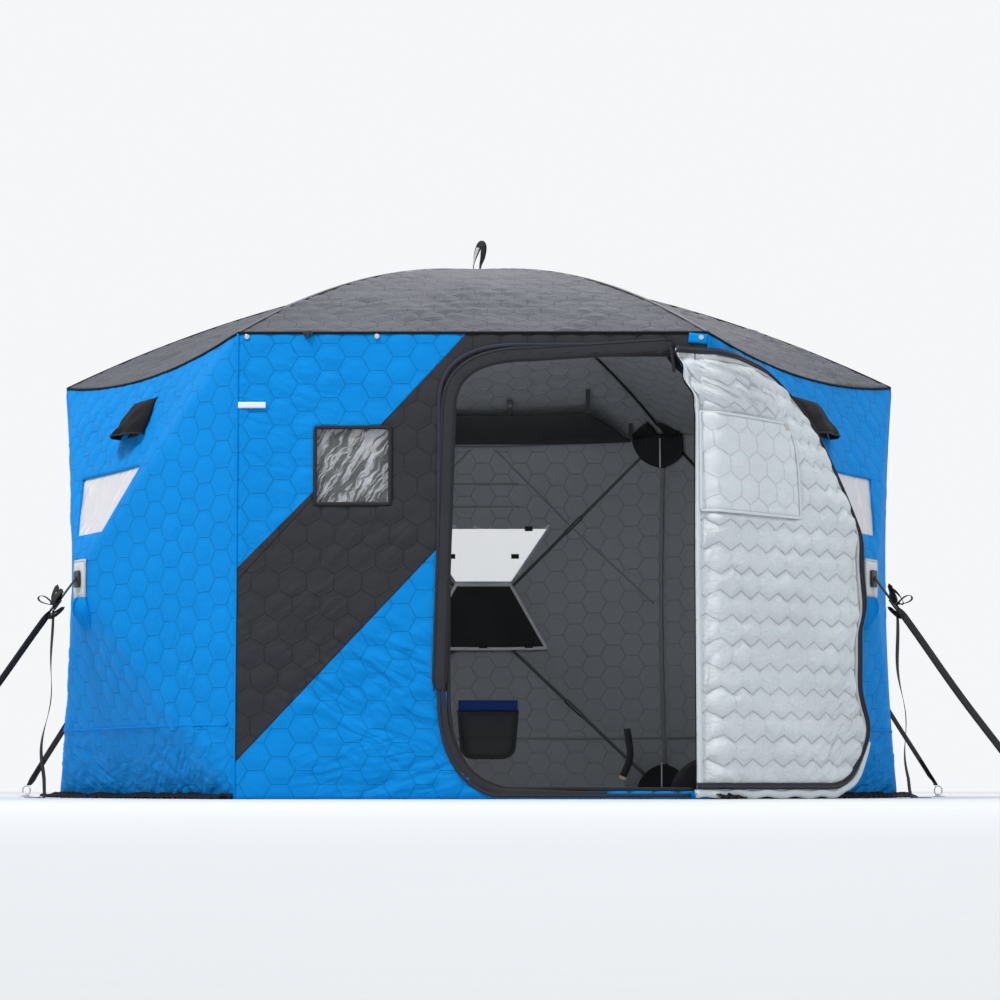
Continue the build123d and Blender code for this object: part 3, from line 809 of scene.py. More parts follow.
def quilted_panel(name, flat, triangles, base, loops, looks, pads, seed, depth=0.006):
    """Padded cloth laid along a base surface, quilted on both sides."""
    free = held_in(flat, loops)
    normals = normals_of(base, triangles)
    waves = ripple(base, 0.35, depth, seed) + ripple(base, 0.11, depth * 0.35, seed + 5)
    waves = np.maximum(waves * held_in(flat, loops, 0.12), -0.0025)
    uneven = np.clip(0.8 + ripple(base, 0.18, 0.9, seed + 9), 0.35, 1.25)
    out_quilt, in_quilt = np.clip(pads, 0.001, 0.014) * uneven, np.clip(pads, 0.001, 0.008)
    outer = base + normals * (free * (out_quilt - 0.0008) + waves)[:, None]
    inner = base - normals * (CLOTH + free * in_quilt * 0.6 - waves)[:, None]
    return shell(name, flat, triangles, outer, inner, *looks)


def make_hub_wall(wall):
    outline, window = wall_outline(wall), window_loop()
    flat, triangles = cut_cloth(outline, [window])
    x, z = flat.T
    low = 1 - smooth(z, 0.235, 0.255)
    pads = pillow(x, z, True) * (1 - low) + low * wrinkles(flat, wall)
    side = -0.45 if wall == 1 else 0.45
    for middle, lean in ((-side, 25), (side, -28)):
        pads = pads + creases(x, z, (middle, 0.12), (0.42, 0.2), lean, wall + 3, 0.011)
    pads = pads + creases(x, z, (0, 1.3), (0.5, 0.25), 8, wall + 8, 0.005)
    sewn("blue_cloth", quilted_panel(
        "wall_cloth_" + NAMES[wall], flat, triangles, on_wall(wall, x, z), [outline, window],
        ("blue", "lining", "plain_blue"), pads, wall,
    ), instead_of=["wall_" + NAMES[wall]])


def make_side_window(wall):
    """Film behind the opening, with the lines where its inner flap is folded."""
    flat, triangles = cut_cloth(window_loop(0.016), spacing=0.016)
    x, z = flat.T
    crease = np.exp(-((np.abs(x) - 0.1 - 0.8 * (z - WINDOW["bottom"])) / 0.006) ** 2)
    base = on_wall(wall, x, z, -CLOTH - 0.0006 - 0.002 * crease)
    normals = normals_of(base, triangles)
    base = base + normals * ripple(base, 0.09, 0.0012, wall)[:, None]
    film = shell("window_film_" + NAMES[wall], flat, triangles, base, base - normals * 0.001,
                 "film" if wall in HOOD_WALLS else "clear_film")
    sewn("window_film", film, instead_of=["side_windows"] if wall == 1 else ())


# Roof
def gore_line(share):
    """Distance out, half width and height of a roof panel, from the cap (0) to the eave (1)."""
    out = CAP_RADIUS * math.cos(math.radians(30)) * (1 - share) + APOTHEM * share
    half = CAP_RADIUS / 2 * (1 - share) + HALF * share
    height = APEX - (APEX - EAVE) * share + 4 * RIDGE_BOW * share * (1 - share)
    return out, half, height


SHARES = np.linspace(0, 1, 241)
GORE_OUT, GORE_HALF, GORE_HIGH = gore_line(SHARES)
GORE_RUN = np.concatenate([[0], np.cumsum(np.hypot(np.diff(GORE_OUT), np.diff(GORE_HIGH)))])


def on_gore(wall, x, y, out=0.0):
    """Points of a roof panel: x across it, y down the slope from the cap (negative)."""
    share = np.interp(-y, GORE_RUN, SHARES)
    reach, half, height = gore_line(share)
    across = np.clip(x / half, -1, 1)
    sag = (EAVE_SAG * share**2 if wall else 0.0) + 4 * GORE_SAG * share * (1 - share)
    outward, along = wall_axes(wall)
    points = along * x[:, None] + outward * reach[:, None]
    points[:, 2] = height - sag * (1 - across**2) + out
    return in_row_frame(points)


def make_gore(wall):
    steps = range(0, len(SHARES), 10)
    right = [(GORE_HALF[i], -GORE_RUN[i]) for i in steps]
    outline = [(-x, y) for x, y in right] + right[::-1]
    flat, triangles = cut_cloth(outline, flat_top=False, spacing=LATTICE * 1.15)
    x, y = flat.T
    pads = pillow(x, y, False)
    for middle, lean, height in ((-0.4, 30, 0.008), (0.35, -30, 0.008), (0.0, 4, 0.006)):
        pads = pads + creases(x, y, (middle, -1.1), (0.4, 0.5), lean, wall, height)
    sewn("roof_cloth", quilted_panel(
        "roof_cloth_" + NAMES[wall], flat, triangles, on_gore(wall, x, y), [outline],
        ("roof", "lining", "plain_black"), pads, 20 + wall, 0.005,
    ), instead_of=["roof_" + NAMES[wall]])


# Front wall
def soft_corner(corner, first, second, steps=12):
    """Points of a parabola from one side to another, with its control point in the corner."""
    result = []
    for share in (step / steps for step in range(steps + 1)):
        weights = (1 - share) ** 2, 2 * share * (1 - share), share**2
        result.append(tuple(np.array(weights) @ np.array([first, corner, second])))
    return result


def door_loop(left, right, bottom, top, margin=0.0):
    """Outline of the doorway or the leaf, with its long soft corners on the free side."""
    turn = left + DOOR_CORNER + margin
    low, high = bottom + DOOR_LOW_CORNER + margin, top - DOOR_TOP_CORNER - margin
    return (
        [(right, bottom), (right, top)]
        + soft_corner((left, top), (turn, top), (left, high))
        + soft_corner((left, bottom), (left, low), (turn, bottom))
    )


def doorway(margin=0.0):
    return door_loop(DOOR["left"], DOOR["right"], DOOR["bottom"], DOOR["top"], margin)


def rectangle(left, bottom, width, height, margin=0.0):
    left, bottom = left - margin, bottom - margin
    right, top = left + width + 2 * margin, bottom + height + 2 * margin
    return [(left, bottom), (right, bottom), (right, top), (left, top)]


def dark_front(x, z):
    """Where the front wall's dark band and header are."""
    def above(first, second):
        return z > first[1] + (x - first[0]) * (second[1] - first[1]) / (second[0] - first[0])

    blue_above = above(*BAND_UPPER[:2]) & above(*BAND_UPPER[1:])
    blue_below = ~above(*BAND_LOWER) & ((x < DOOR["left"]) | (z < SILL_TOP))
    return ~(blue_above | blue_below)


def make_front():
    outline, window = wall_outline(0), rectangle(*FRONT_WINDOW)
    flat, triangles = cut_cloth(outline, [doorway(), window])
    x, z = flat.T
    pads = np.where(dark_front(x, z), pillow(x, z, False), pillow(x, z, True))
    pads = pads + 0.4 * wrinkles(flat, 3) * (1 - smooth(z, 0.06, 0.3))
    for fold in (
        ((-0.3, 0.3), (0.3, 0.3), -32, 5, 0.014), ((-0.2, 0.1), (0.25, 0.14), 20, 15, 0.012),
        ((-0.55, 0.55), (0.3, 0.3), 42, 25, 0.006), ((-0.5, 1.35), (0.35, 0.3), -20, 35, 0.005),
        ((-0.35, 0.95), (0.3, 0.2), 44, 45, 0.006),
    ):
        pads = pads + creases(x, z, *fold)
    sewn("blue_cloth", quilted_panel(
        "front_cloth", flat, triangles, on_wall(0, x, z), [outline, doorway(), window],
        ("front", "lining", "plain_black"), pads, 40, 0.004,
    ), instead_of=["front_wall_" + part for part in ("left", "head", "sill", "hinge_strip")])


def make_front_film():
    loop = rectangle(*FRONT_WINDOW, 0.014)
    flat, triangles = cut_cloth(loop, spacing=0.009)
    base = on_wall(0, *flat.T, -CLOTH - 0.002)
    normals = normals_of(base, triangles)
    crush = ripple(base, 0.035, 0.006, 71) + ripple(base, 0.012, 0.002, 72)
    base = base + normals * (crush * held_in(flat, [loop], 0.03))[:, None]
    film = shell("front_window_film", flat, triangles, base, base - normals * 0.0008, "crinkled")
    sewn("window_film", film, instead_of=["front_window"])


# Door leaf, standing open
LEAF_REACH = DOOR["right"] - DOOR["left"] + LEAF_OVERLAP
LEAF_LOW = DOOR["bottom"] - LEAF_OVERLAP
LEAF_HIGH = DOOR["top"] + LEAF_OVERLAP
LEAF_THICK = 0.006
LEAF_FRONT = LEAF_THICK + 0.004
LEAN_TURN = 19.0
LEAF_SAG = 0.035
LEAF_SHIFT = 0.06
LEAF_CLEAR = 0.02
LEAF_GATHER = 0.16
LEAF_CORNER = 0.22
DOOR_WINDOW = (0.06, 1.01, 0.4, 0.255)
LEAF_FOLDS = (
    ((0.2, 1.38), (0.35, 0.1), -24, 3, 0.014), ((0.75, 0.25), (0.25, 0.2), 35, 13, 0.012),
    ((0.8, 0.8), (0.12, 0.5), 80, 23, 0.009),
)


def clear_of_wall(points, margin):
    """Push points of the hut's own frame out of the two walls that meet beside the hinge."""
    outward, along = wall_axes(1)
    ahead = np.array([0.0, -1.0, 0.0])
    for _ in range(3):
        s, z = np.clip(points @ along, -HALF, HALF), points[..., 2]
        beside = points @ outward - APOTHEM - wall_reach(1, s, z) - margin
        before = points @ ahead - APOTHEM - 0.45 * margin
        share = (0.5 + 0.5 * np.tanh((beside - before) / 0.03))[..., None]
        gap = np.maximum(beside, before)
        push = 0.5 * (np.sqrt(gap**2 + 0.008**2) - gap)
        points = points + (outward * share + ahead * (1 - share)) * push[..., None]
    return points


def on_leaf(a, z, out=0.0):
    """Points of the open leaf: a from its hinge, z up, out from its outer face.
    Its upper part leans back over the wall behind and is gathered in soft folds."""
    a, z = np.asarray(a, float), np.asarray(z, float)
    high = smooth(z, 0.8, 1.5)
    turn = np.radians(DOOR_TURN + LEAN_TURN * high)
    gather = 1 - LEAF_GATHER * smooth(z, 0.9, 1.5) - 0.062 * smooth(z, 0.2, 0.4)
    gather = gather - 0.025 * smooth(z, 0.6, 0.85)
    gather = gather - LEAF_CORNER * np.clip((z - 1.28) / (LEAF_HIGH - 1.28), 0, 1) ** 2
    run = a * gather
    share = a / LEAF_REACH
    belly = 0.016 * np.sin(math.pi * share) * (1 - 0.5 * high)
    roll = 0.03 * smooth(share, 0.6, 1.0) * (0.4 + 0.6 * high)
    folds = 0.008 * np.sin(2 * math.pi * (0.55 * a + 0.83 * z) / 0.085)
    folds = folds * smooth(z, 1.26, 1.42) * (1 - smooth(a, 0.35, 0.7))
    spread = np.stack([a.ravel(), z.ravel(), 0 * z.ravel()], -1)
    waves = (ripple(spread, 0.22, 0.006, 61) + ripple(spread, 0.08, 0.002, 62)).reshape(a.shape)
    away = LEAF_OFFSET + belly - roll + folds + waves * smooth(a, 0.0, 0.1)
    x = DOOR["right"] + run * np.cos(turn) + away * np.sin(turn)
    y = -APOTHEM - HINGE_PROUD + run * np.sin(turn) - away * np.cos(turn)
    hinge = 1 - smooth(a, 0.0, 0.5)
    x = x - hinge * (0.016 + LEAF_SHIFT * smooth(z, 1.3, LEAF_HIGH))
    drop = LEAF_SAG * high * np.maximum(share, 0) ** 1.3
    points = clear_of_wall(np.stack([x, y, z - drop], -1), LEAF_CLEAR)
    facing = np.stack([np.sin(turn), -np.cos(turn), np.zeros_like(turn)], -1)
    return in_row_frame(points + facing * np.broadcast_to(out, a.shape)[..., None])


def leaf_loop():
    """Outline of the leaf, from the foot of its hinge edge up and round."""
    return [(-x, z) for x, z in door_loop(-LEAF_REACH, 0.0, LEAF_LOW, LEAF_HIGH)]


def leaf_sheet(name, loop, depth, thick, looks, pad, spacing, crush=0.0, holes=()):
    """Cloth laid on the leaf between two depths, with padding on its visible side."""
    flat, triangles = cut_cloth(loop, holes, flat_top=False, spacing=spacing)
    x, y = flat.T
    base = on_leaf(x, y)
    normals = normals_of(base, triangles)
    if (normals @ polar(1, DOOR_TURN - 90)).mean() < 0:
        normals, triangles = -normals, triangles[:, ::-1]
    free = held_in(flat, [loop, *holes])
    uneven, waves = 1.0, ripple(base, 0.03, crush, 63)
    if holes:
        free = free * np.clip(gap_to(flat, np.array(loop)) / 0.014 - 2.4, 0, 1)
        free = free * np.clip((gap_to(flat, np.array(holes[0])) - 0.046) / 0.02, 0, 1)
        uneven = np.clip(0.85 + ripple(base, 0.13, 1.1, 64), 0.3, 1.3)
        waves = waves + ripple(base, 0.06, 0.004, 65)
        waves = waves + sum(creases(x, y, *fold) for fold in LEAF_FOLDS)
    pads = pillow(x, y, False, pad, True) * free * uneven
    waves = waves * free
    lining = base + normals * (depth + thick + pads + waves)[:, None]
    outside = base + normals * (depth - 0.6 * pads + waves)[:, None]
    return shell(name, flat, triangles, lining, outside, *looks, body="door")


def make_leaf():
    """The open leaf, the film of its window and the cover that hangs over that."""
    sewn("door_cloth", leaf_sheet(
        "door_cloth", leaf_loop()[::-1], 0.0, LEAF_THICK,
        ("door_lining", "blue", "plain_black"), 0.015, LATTICE * 0.6,
        holes=[rectangle(*DOOR_WINDOW)],
    ), instead_of=["door_leaf"])
    sewn("window_film", leaf_sheet(
        "door_window_film", rectangle(*DOOR_WINDOW, 0.014), -0.0025, 0.001, ("crinkled",), 0.0,
        0.012, 0.002,
    ), instead_of=["door_window"])
    sewn("cover_cloth", leaf_sheet(
        "door_cover_cloth", rectangle(*DOOR_WINDOW, 0.04), LEAF_THICK + 0.0035, 0.003,
        ("pale_quilt", "plain_grey", "pale"), 0.0045, 0.0125, 0.003,
    ), instead_of=["door_window_cover"])


def make_leaf_trim():
    """Hems, zip and tapes along the leaf's edges."""
    loop = leaf_loop()
    edge = loop[1:] + loop[:1]
    hem = shifted([(x, z) for x, z in edge if z < 0.2], -0.002)
    hem[:, 1] += 0.004 * np.sin(hem[:, 0] * 47)

    def beside(distance):
        """The leaf's edge, moved in by a distance and further near the foot."""
        return shifted(edge, lambda path: distance - 0.024 * (1 - smooth(path[:, 1], 0.1, 0.3)))

    def leaf_tape(name, path, width, lift, look, thick, crown=0.0, **more):
        return tape(name, on_leaf, path, width, LEAF_FRONT + lift, look, "door",
                    thick=thick, crown=crown, **more)

    hinge = [(0.012, LEAF_LOW + 0.01), (0.012, LEAF_HIGH - 0.01)]
    cover = rectangle(*DOOR_WINDOW, 0.04)
    sewn(
        "door_cloth",
        leaf_tape("leaf_hem", hem, 0.026, 0.0, "pale", 0.012, 0.004),
        leaf_tape("leaf_zip", beside(-0.004), 0.022, 0.004, "zip", 0.012, 0.002),
        leaf_tape("leaf_zip_teeth", beside(-0.002), 0.007, 0.0085, "plastic", 0.003, 0.001),
        leaf_tape("leaf_inner_strip", shifted(edge[:20], -0.027), 0.014, 0.002, "pale_tape", 0.004),
        leaf_tape("leaf_hinge_tape", hinge, 0.016, 0.001, "pale", 0.004, 0.001),
        leaf_tape("door_cover_edge", cover, 0.009, 0.0075, "pale", 0.004, 0.001, closed_path=True),
        leaf_tape("door_cover_tab", [(0.455, 1.295), (0.487, 1.295)], 0.026, 0.0085, "pale_tape",
                  0.003, gap=0.008),
    )


def flatten_door():
    """The open leaf lies in soft folds over the wall behind it; its pieces get meshes of their own.
    """
    turn = DOOR_TURN - 90
    hinge = np.array([DOOR["right"], -APOTHEM - HINGE_PROUD, 0.0])
    anchor = in_row_frame(hinge + polar(LEAF_OFFSET - 0.008, turn))
    for thing in list(bpy.data.objects):
        if thing.type == "MESH" and thing.name.startswith(("leaf_", "door_c", "door_window_film")):
            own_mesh(thing)


# Tapes, tubes and small trim
STRAP_SECTION = ((-0.5, -0.35), (-0.2, -0.5), (0.2, -0.5), (0.5, -0.35),
                 (0.5, 0.35), (0.2, 0.5), (-0.2, 0.5), (-0.5, 0.35))
SNAP_PROFILE = ((1.0, 0.0), (0.96, 0.5), (0.75, 0.8), (0.6, 0.45), (0.4, 0.5), (0.2, 0.85),
                (0.02, 0.9))
LEVEL_AXES = (polar(1, 0), polar(1, 90), UP)


def ring_faces(count, around, closed_path=False):
    """Faces between rings of points, each ring joined to the next one."""
    faces = []
    for row in range(count if closed_path else count - 1):
        here, there = row * around, (row + 1) % count * around
        for spot in range(around):
            after = (spot + 1) % around
            faces.append((here + spot, here + after, there + after, there + spot))
    return faces


def band(name, rows, uvs, look, body="root", closed_path=False):
    """Closed band from rows of points, each row a ring around the band's section."""
    count, around = len(rows), len(rows[0])
    faces = ring_faces(count, around, closed_path)
    if not closed_path:
        faces.append(tuple(range(around))[::-1])
        faces.append(tuple(range((count - 1) * around, count * around)))
    return built(name, np.concatenate(rows), faces, [look], body, np.array(uvs).reshape(-1, 2))


def runs(path):
    """Distance along a path at each of its points."""
    return np.concatenate([[0], np.cumsum(np.linalg.norm(np.diff(path, axis=0), axis=1))])


def evenly(path, gap):
    """The same path with evenly spaced points."""
    path = np.asarray(path, float)
    along = runs(path)
    marks = np.linspace(0, along[-1], max(2, round(along[-1] / gap) + 1))
    return np.stack([np.interp(marks, along, line) for line in path.T], -1)


def smooth_path(points, count):
    """Even points of a Catmull-Rom curve through the given ones."""
    points = np.asarray(points, float)
    ends = np.concatenate([[2 * points[0] - points[1]], points, [2 * points[-1] - points[-2]]])
    result = []
    for value in np.linspace(0, len(points) - 1, count):
        part = min(int(value), len(points) - 2)
        t = value - part
        a, b, c, d = ends[part:part + 4]
        result.append(0.5 * (2 * b + (c - a) * t + (2 * a - 5 * b + 4 * c - d) * t * t
                             + (3 * b - a - 3 * c + d) * t**3))
    return np.array(result)


def headings(path, closed_path=False):
    """Unit vectors ahead at each point of a path."""
    if closed_path:
        ahead = np.roll(path, -1, axis=0) - np.roll(path, 1, axis=0)
    else:
        ahead = np.gradient(path, axis=0)
    return ahead / np.linalg.norm(ahead, axis=1, keepdims=True)


def leftward(ahead):
    return np.stack([-ahead[:, 1], ahead[:, 0]], -1)


def shifted(path, distance):
    """Open path moved sideways: to its left where the distance is above zero."""
    path = evenly(path, 0.012)
    away = distance(path)[:, None] if callable(distance) else distance
    return path + away * leftward(headings(path))


def tape(name, place, path, width, lift, look, body="root", thick=0.0015, crown=0.0,
         gap=0.012, columns=5, closed_path=False, taper=0.0):
    """Flat band that follows a path drawn on a surface; place(x, y, out) gives the surface."""
    if closed_path:
        path = evenly([*path, path[0]], gap)[:-1]
    else:
        path = evenly(path, gap)
    side = leftward(headings(path, closed_path))
    along = runs(path)
    offsets = np.linspace(-0.5, 0.5, columns)
    narrow = np.ones(len(path))
    if taper:
        narrow = np.clip(0.25 + 0.75 * np.minimum(along, along[-1] - along) / taper, 0, 1)
    top, bottom = [], []
    for offset in offsets:
        spot = path + side * (offset * width * narrow)[:, None]
        rise = lift + crown * (1 - (2 * offset) ** 2)
        top.append(place(*spot.T, rise))
        bottom.append(place(*spot.T, lift - thick))
    across = np.concatenate([offsets, offsets[::-1]]) * width
    uvs = [[(x, y) for x in across] for y in along]
    return band(name, np.stack(top + bottom[::-1], 1), uvs, look, body, closed_path)


def tube(name, points, radius, look, body="root", sides=8, closed_path=False):
    """Round cord or rod along a path in space; radius may be a list."""
    points = np.asarray(points, float)
    ahead = headings(points, closed_path)
    side = np.cross(ahead[0], UP if abs(ahead[0][2]) < 0.9 else polar(1, 0))
    turns = np.linspace(0, 2 * math.pi, sides, endpoint=False)
    radii = np.broadcast_to(radius, len(points))
    rows, uvs = [], []
    for point, direction, size, run in zip(points, ahead, radii, runs(points)):
        side = side - direction * (side @ direction)
        side /= np.linalg.norm(side)
        other = np.cross(direction, side)
        rows.append([point + size * (math.cos(t) * side + math.sin(t) * other) for t in turns])
        uvs.append([(t * size, run) for t in turns])
    return band(name, rows, uvs, look, body, closed_path)


def strap(name, points, width, thick, side, look="webbing", gap=0.015, twist=None):
    """Flat webbing through points in space. Its width lies along side, turned by twist."""
    points = evenly(points, gap)
    along = runs(points)
    turn = np.zeros(len(points)) if twist is None else twist(along / along[-1])
    rows, uvs = [], []
    for point, direction, run, angle in zip(points, headings(points), along, turn):
        across = np.asarray(side, float) - direction * (np.asarray(side) @ direction)
        across /= np.linalg.norm(across)
        flat = math.cos(angle) * across + math.sin(angle) * np.cross(direction, across)
        face_on = np.cross(direction, flat)
        rows.append([point + flat * x * width + face_on * y * thick for x, y in STRAP_SECTION])
        uvs.append([(x * width, run) for x, _ in STRAP_SECTION])
    return band(name, rows, uvs, look)


def rounded_box(name, centre, axes, sizes, look="plastic", soft=0.3):
    """Moulded block with rounded edges; axes are three unit vectors."""
    turns = np.linspace(0, 2 * math.pi, 24, endpoint=False)
    levels = np.linspace(-math.pi / 2, math.pi / 2, 9)
    ball = np.array([[math.cos(level) * math.cos(turn), math.cos(level) * math.sin(turn),
                      math.sin(level)] for level in levels for turn in turns])
    spread = np.sign(ball) * np.abs(ball) ** soft / 2 * np.array(sizes)
    points = np.asarray(centre) + spread @ np.array(axes, float)
    return built(name, points, ring_faces(len(levels), len(turns)), [look])


def snap(name, place, x, y, lift, radius):
    """Domed snap pressed through cloth, with a ring round its middle."""
    turns = np.linspace(0, 2 * math.pi, 20, endpoint=False)
    rows, uvs = [], []
    for share, rise in SNAP_PROFILE:
        ring = x + radius * share * np.cos(turns), y + radius * share * np.sin(turns)
        rows.append(place(*ring, lift + rise * radius * 0.35))
        uvs.append([(share * radius, turn * radius) for turn in turns])
    return band(name, rows, uvs, "steel")


def make_front_trim():
    """Flap, zip, window binding, snaps and the other sewn parts of the front."""
    front, pieces = face(0), []
    left, right, bottom, top = DOOR["left"], DOOR["right"], DOOR["bottom"], DOOR["top"]

    def add(name, path, width, lift, look, thick=0.006, **more):
        pieces.append(tape(name, front, path, width, lift, look, thick=thick, **more))

    flap = [(right - 0.07, top + 0.03)] + doorway(0.03)[2:15] + [(left - 0.03, SILL_TOP)]
    add("door_flap", shifted(flap, -0.002), 0.052, 0.009, "flap", crown=0.003, columns=7,
        taper=0.03)
    for number, shift in enumerate((-0.02, 0.016)):
        add("door_flap_seam_%d" % number, shifted(flap, shift), 0.004, 0.0118, "binding", 0.003,
            crown=0.0008, columns=3)
    free = doorway()[2:]
    line = shifted([(right - 0.07, top), *free, (right - 0.02, bottom)], -0.034)
    line[:, 1] = np.maximum(line[:, 1], 0.012)
    add("door_zip", line, 0.013, 0.009, "zip", crown=0.002)
    low = [(x, z) for x, z in free if z < 0.42]
    arc = shifted([(left, 0.44), *low, (right - 0.3, bottom)], -0.017)
    arc[:, 1] = np.maximum(arc[:, 1], 0.02)
    add("doorway_arc", arc, 0.03, 0.0085, "flap", crown=0.002, taper=0.3)
    edge = doorway()[1:-1] + [(right - 0.01, bottom)]
    add("doorway_binding", edge, 0.012, 0.004, "binding", 0.013, crown=0.001)
    add("front_window_binding", rectangle(*FRONT_WINDOW, 0.002), 0.0125, 0.007, "binding",
        crown=0.0015, closed_path=True)
    add("reflective_strip", [(-0.797, 1.331), (-0.703, 1.331)], 0.021, 0.009, "glow", 0.0015,
        gap=0.006)
    for number, (x, z) in enumerate(((-0.769, 1.566), (-0.326, 1.567), (0.777, 1.562))):
        pieces.append(snap("front_snap_%d" % number, front, x, z, 0.007, 0.009))
    pieces.append(make_door_roll())
    ahead = -APOTHEM - 0.012
    for number, (z, wide, high) in enumerate(((1.578, 0.034, 0.016), (1.572, 0.012, 0.026))):
        spot = in_row_frame([-0.561, ahead - 0.004 * number, z])
        pieces.append(rounded_box("eave_toggle_%d" % number, spot, LEVEL_AXES, (wide, 0.012, high)))
    pull = in_row_frame([(0.672, ahead - 0.018, 1.525), (0.676, ahead - 0.02, 1.5),
                         (0.683, ahead - 0.02, 1.44)])
    pieces.append(strap("zip_pull", smooth_path(pull, 12), 0.011, 0.003, (1, 0, 0), gap=0.006))
    add("corner_patch", [(0.735, 1.562), (0.798, 1.556)], 0.034, 0.006, "plain_blue", 0.004,
        gap=0.008)
    sewn("dark_cloth", *pieces)


def make_door_roll():
    """Gathered cloth along the top of the doorway."""
    xs = np.linspace(DOOR["left"] + 0.16, DOOR["right"] - 0.012, 70)
    path = in_row_frame([(x, -APOTHEM - 0.004, DOOR["top"] + 0.006) for x in xs])
    crimps = 0.0076 + 0.0012 * np.sin(xs * 140) + 0.0008 * np.sin(xs * 61 + 1)
    crimps *= np.clip(np.minimum(xs - xs[0], xs[-1] - xs) / 0.02 + 0.3, 0, 1)
    return tube("doorway_roll", path, crimps, "binding", sides=12)


def make_seams():
    """Piping along the upright seams and eaves, and tape over the roof's ridges."""
    for corner in range(6):
        heights = np.linspace(0.0, EAVE - 0.002, 60)
        side = -HALF + side_bow(corner, np.full(60, -1.0), heights) / 2
        upright = on_wall(corner, side, heights, 0.0015)
        sewn("blue_cloth", tube("corner_piping_%d" % corner, upright, 0.0035, "plain_blue"))
        ridge = np.linspace(0, -GORE_RUN[-1], 70)
        half = np.interp(-ridge, GORE_RUN, GORE_HALF)
        crest = on_gore(corner, -half, ridge, 0.0) + [0, 0, 0.0025]
        across = polar(1, wall_turn(corner) + 60)
        sewn("roof_cloth", strap("ridge_tape_%d" % corner, crest, 0.02, 0.002, across, "roof_tape"))
        sweep = np.linspace(-1, 1, 60)
        eave = EAVE - (EAVE_SAG if corner else 0.0) * (1 - sweep**2)
        line = on_wall(corner, sweep * HALF, eave, 0.002)
        sewn("roof_cloth", tube("eave_piping_%d" % corner, line, 0.0045, "plain_black"))


# Fittings outside
HOOD_DROP = 0.15
HOOD_TALL = 0.135
HOOD_HALF = 0.108
HOOD_ASIDE = 0.09
POUCH_HALF = 0.055
POUCH_TALL = 0.115


def make_hood(wall):
    """Cloth vent hood: an arch that stands off the wall and is open below."""
    top = EAVE - HOOD_DROP
    middle = -HOOD_ASIDE if wall == 1 else HOOD_ASIDE
    down, share = grid(19, 41, 0)
    turns = math.pi * share
    arch = np.sin(turns) ** 0.85 * np.sin(math.pi / 2 * np.minimum(1, down / 0.18)) ** 0.7
    crumple = 0.006 * np.sin(turns * 7 + down * 6 + wall) + 0.005 * np.sin(turns * 2 + down * 13)
    crumple = crumple * np.sin(turns) * down
    layers = []
    for inset in (0.0, 0.004):
        across = middle - (HOOD_HALF - inset) * np.cos(turns)
        reach = 0.004 + (0.02 + 0.052 * down - inset) * arch
        layers.append(on_wall(wall, across, top - HOOD_TALL * down, reach + crumple))
    flat = np.stack([turns * 0.075, -HOOD_TALL * down], -1)
    hood = grid_sheet("vent_hood_" + NAMES[wall], *layers, flat, "hood", "plain_black", "binding")
    lip = tube("vent_hood_edge_" + NAMES[wall], layers[0][-1], 0.0035, "binding")
    low = top - HOOD_TALL + 0.04
    line = [(middle - 0.09, low), (middle + 0.09, low)]
    mouth = tape("vent_mesh_" + NAMES[wall], face(wall), line, 0.085, 0.004, "plain_black", gap=0.01)
    sewn("dark_cloth", hood, lip, mouth, instead_of=["vent_hoods"] if wall == 1 else ())


def make_hub_patch(wall):
    """Reflective pad, plate and gathered pouch over the point where a wall is pulled out."""
    name = NAMES[wall]
    outward, along = wall_axes(wall)
    loop = rectangle(-HUB_WIDE / 2, HUB_HEIGHT - HUB_TALL / 2, HUB_WIDE, HUB_TALL)
    flat, triangles = cut_cloth(loop, flat_top=False, spacing=0.006)
    free = held_in(flat, [loop], 0.012)
    base = on_wall(wall, *flat.T, 0.003)
    puff = 0.004 * free * (2 - free) + ripple(base, 0.03, 0.0009, 90 + wall)
    pad = shell("hub_pad_" + name, flat, triangles, base + outward * puff[:, None],
                base - outward * 0.003, "silver", "plain_black", "pale_tape")
    edge = tape("hub_pad_edge_" + name, face(wall), loop, 0.011, 0.0055, "pale_tape",
                thick=0.005, crown=0.001, closed_path=True, gap=0.008)
    down, across = grid(25, 61)
    width = 0.052 + 0.012 * np.sin(math.pi * down) - 0.012 * down
    belly = 0.004 + 0.026 * np.sin(math.pi * down) ** 0.8 * (1 - across**4)
    pleats = 0.006 * np.sin(across * 15 + 2 * down) * np.sqrt(down) * (1 - 0.5 * down)
    height = HUB_HEIGHT - 0.062 - POUCH_TALL * down
    layers = [on_wall(wall, across * width, height, belly + pleats - inset)
              for inset in (0.0, 0.0025)]
    flat = np.stack([across * POUCH_HALF, -POUCH_TALL * down], -1)
    pouch = grid_sheet("hub_pouch_" + name, *layers, flat, "plain_blue", "plain_black", "plain_blue")
    centre = in_row_frame(polar(APOTHEM + HUB_BULGE + 0.009, wall_turn(wall), HUB_HEIGHT))
    plate = rounded_box("hub_plate_" + name, centre, (along, UP, outward), (0.05, 0.062, 0.008))
    sewn("patch", pad, edge, plate, instead_of=["hub_patches"] if wall == 1 else ())
    sewn("blue_cloth", pouch)


GUY_FACE = APOTHEM + HUB_BULGE + 0.002 + 0.0006
GUY_REACH = 0.58
GUY_WIDE = 0.025
BUCKLE_AT = 0.12
RING_HEIGHT = 0.025
RING_RADIUS = 0.02
# Loose loops at the buckle: their swing, their rise and where along the guy they start
BUNCHES = ((0.03, 0.022, -0.02), (-0.012, 0.03, -0.035), (0.016, -0.03, 0.02))


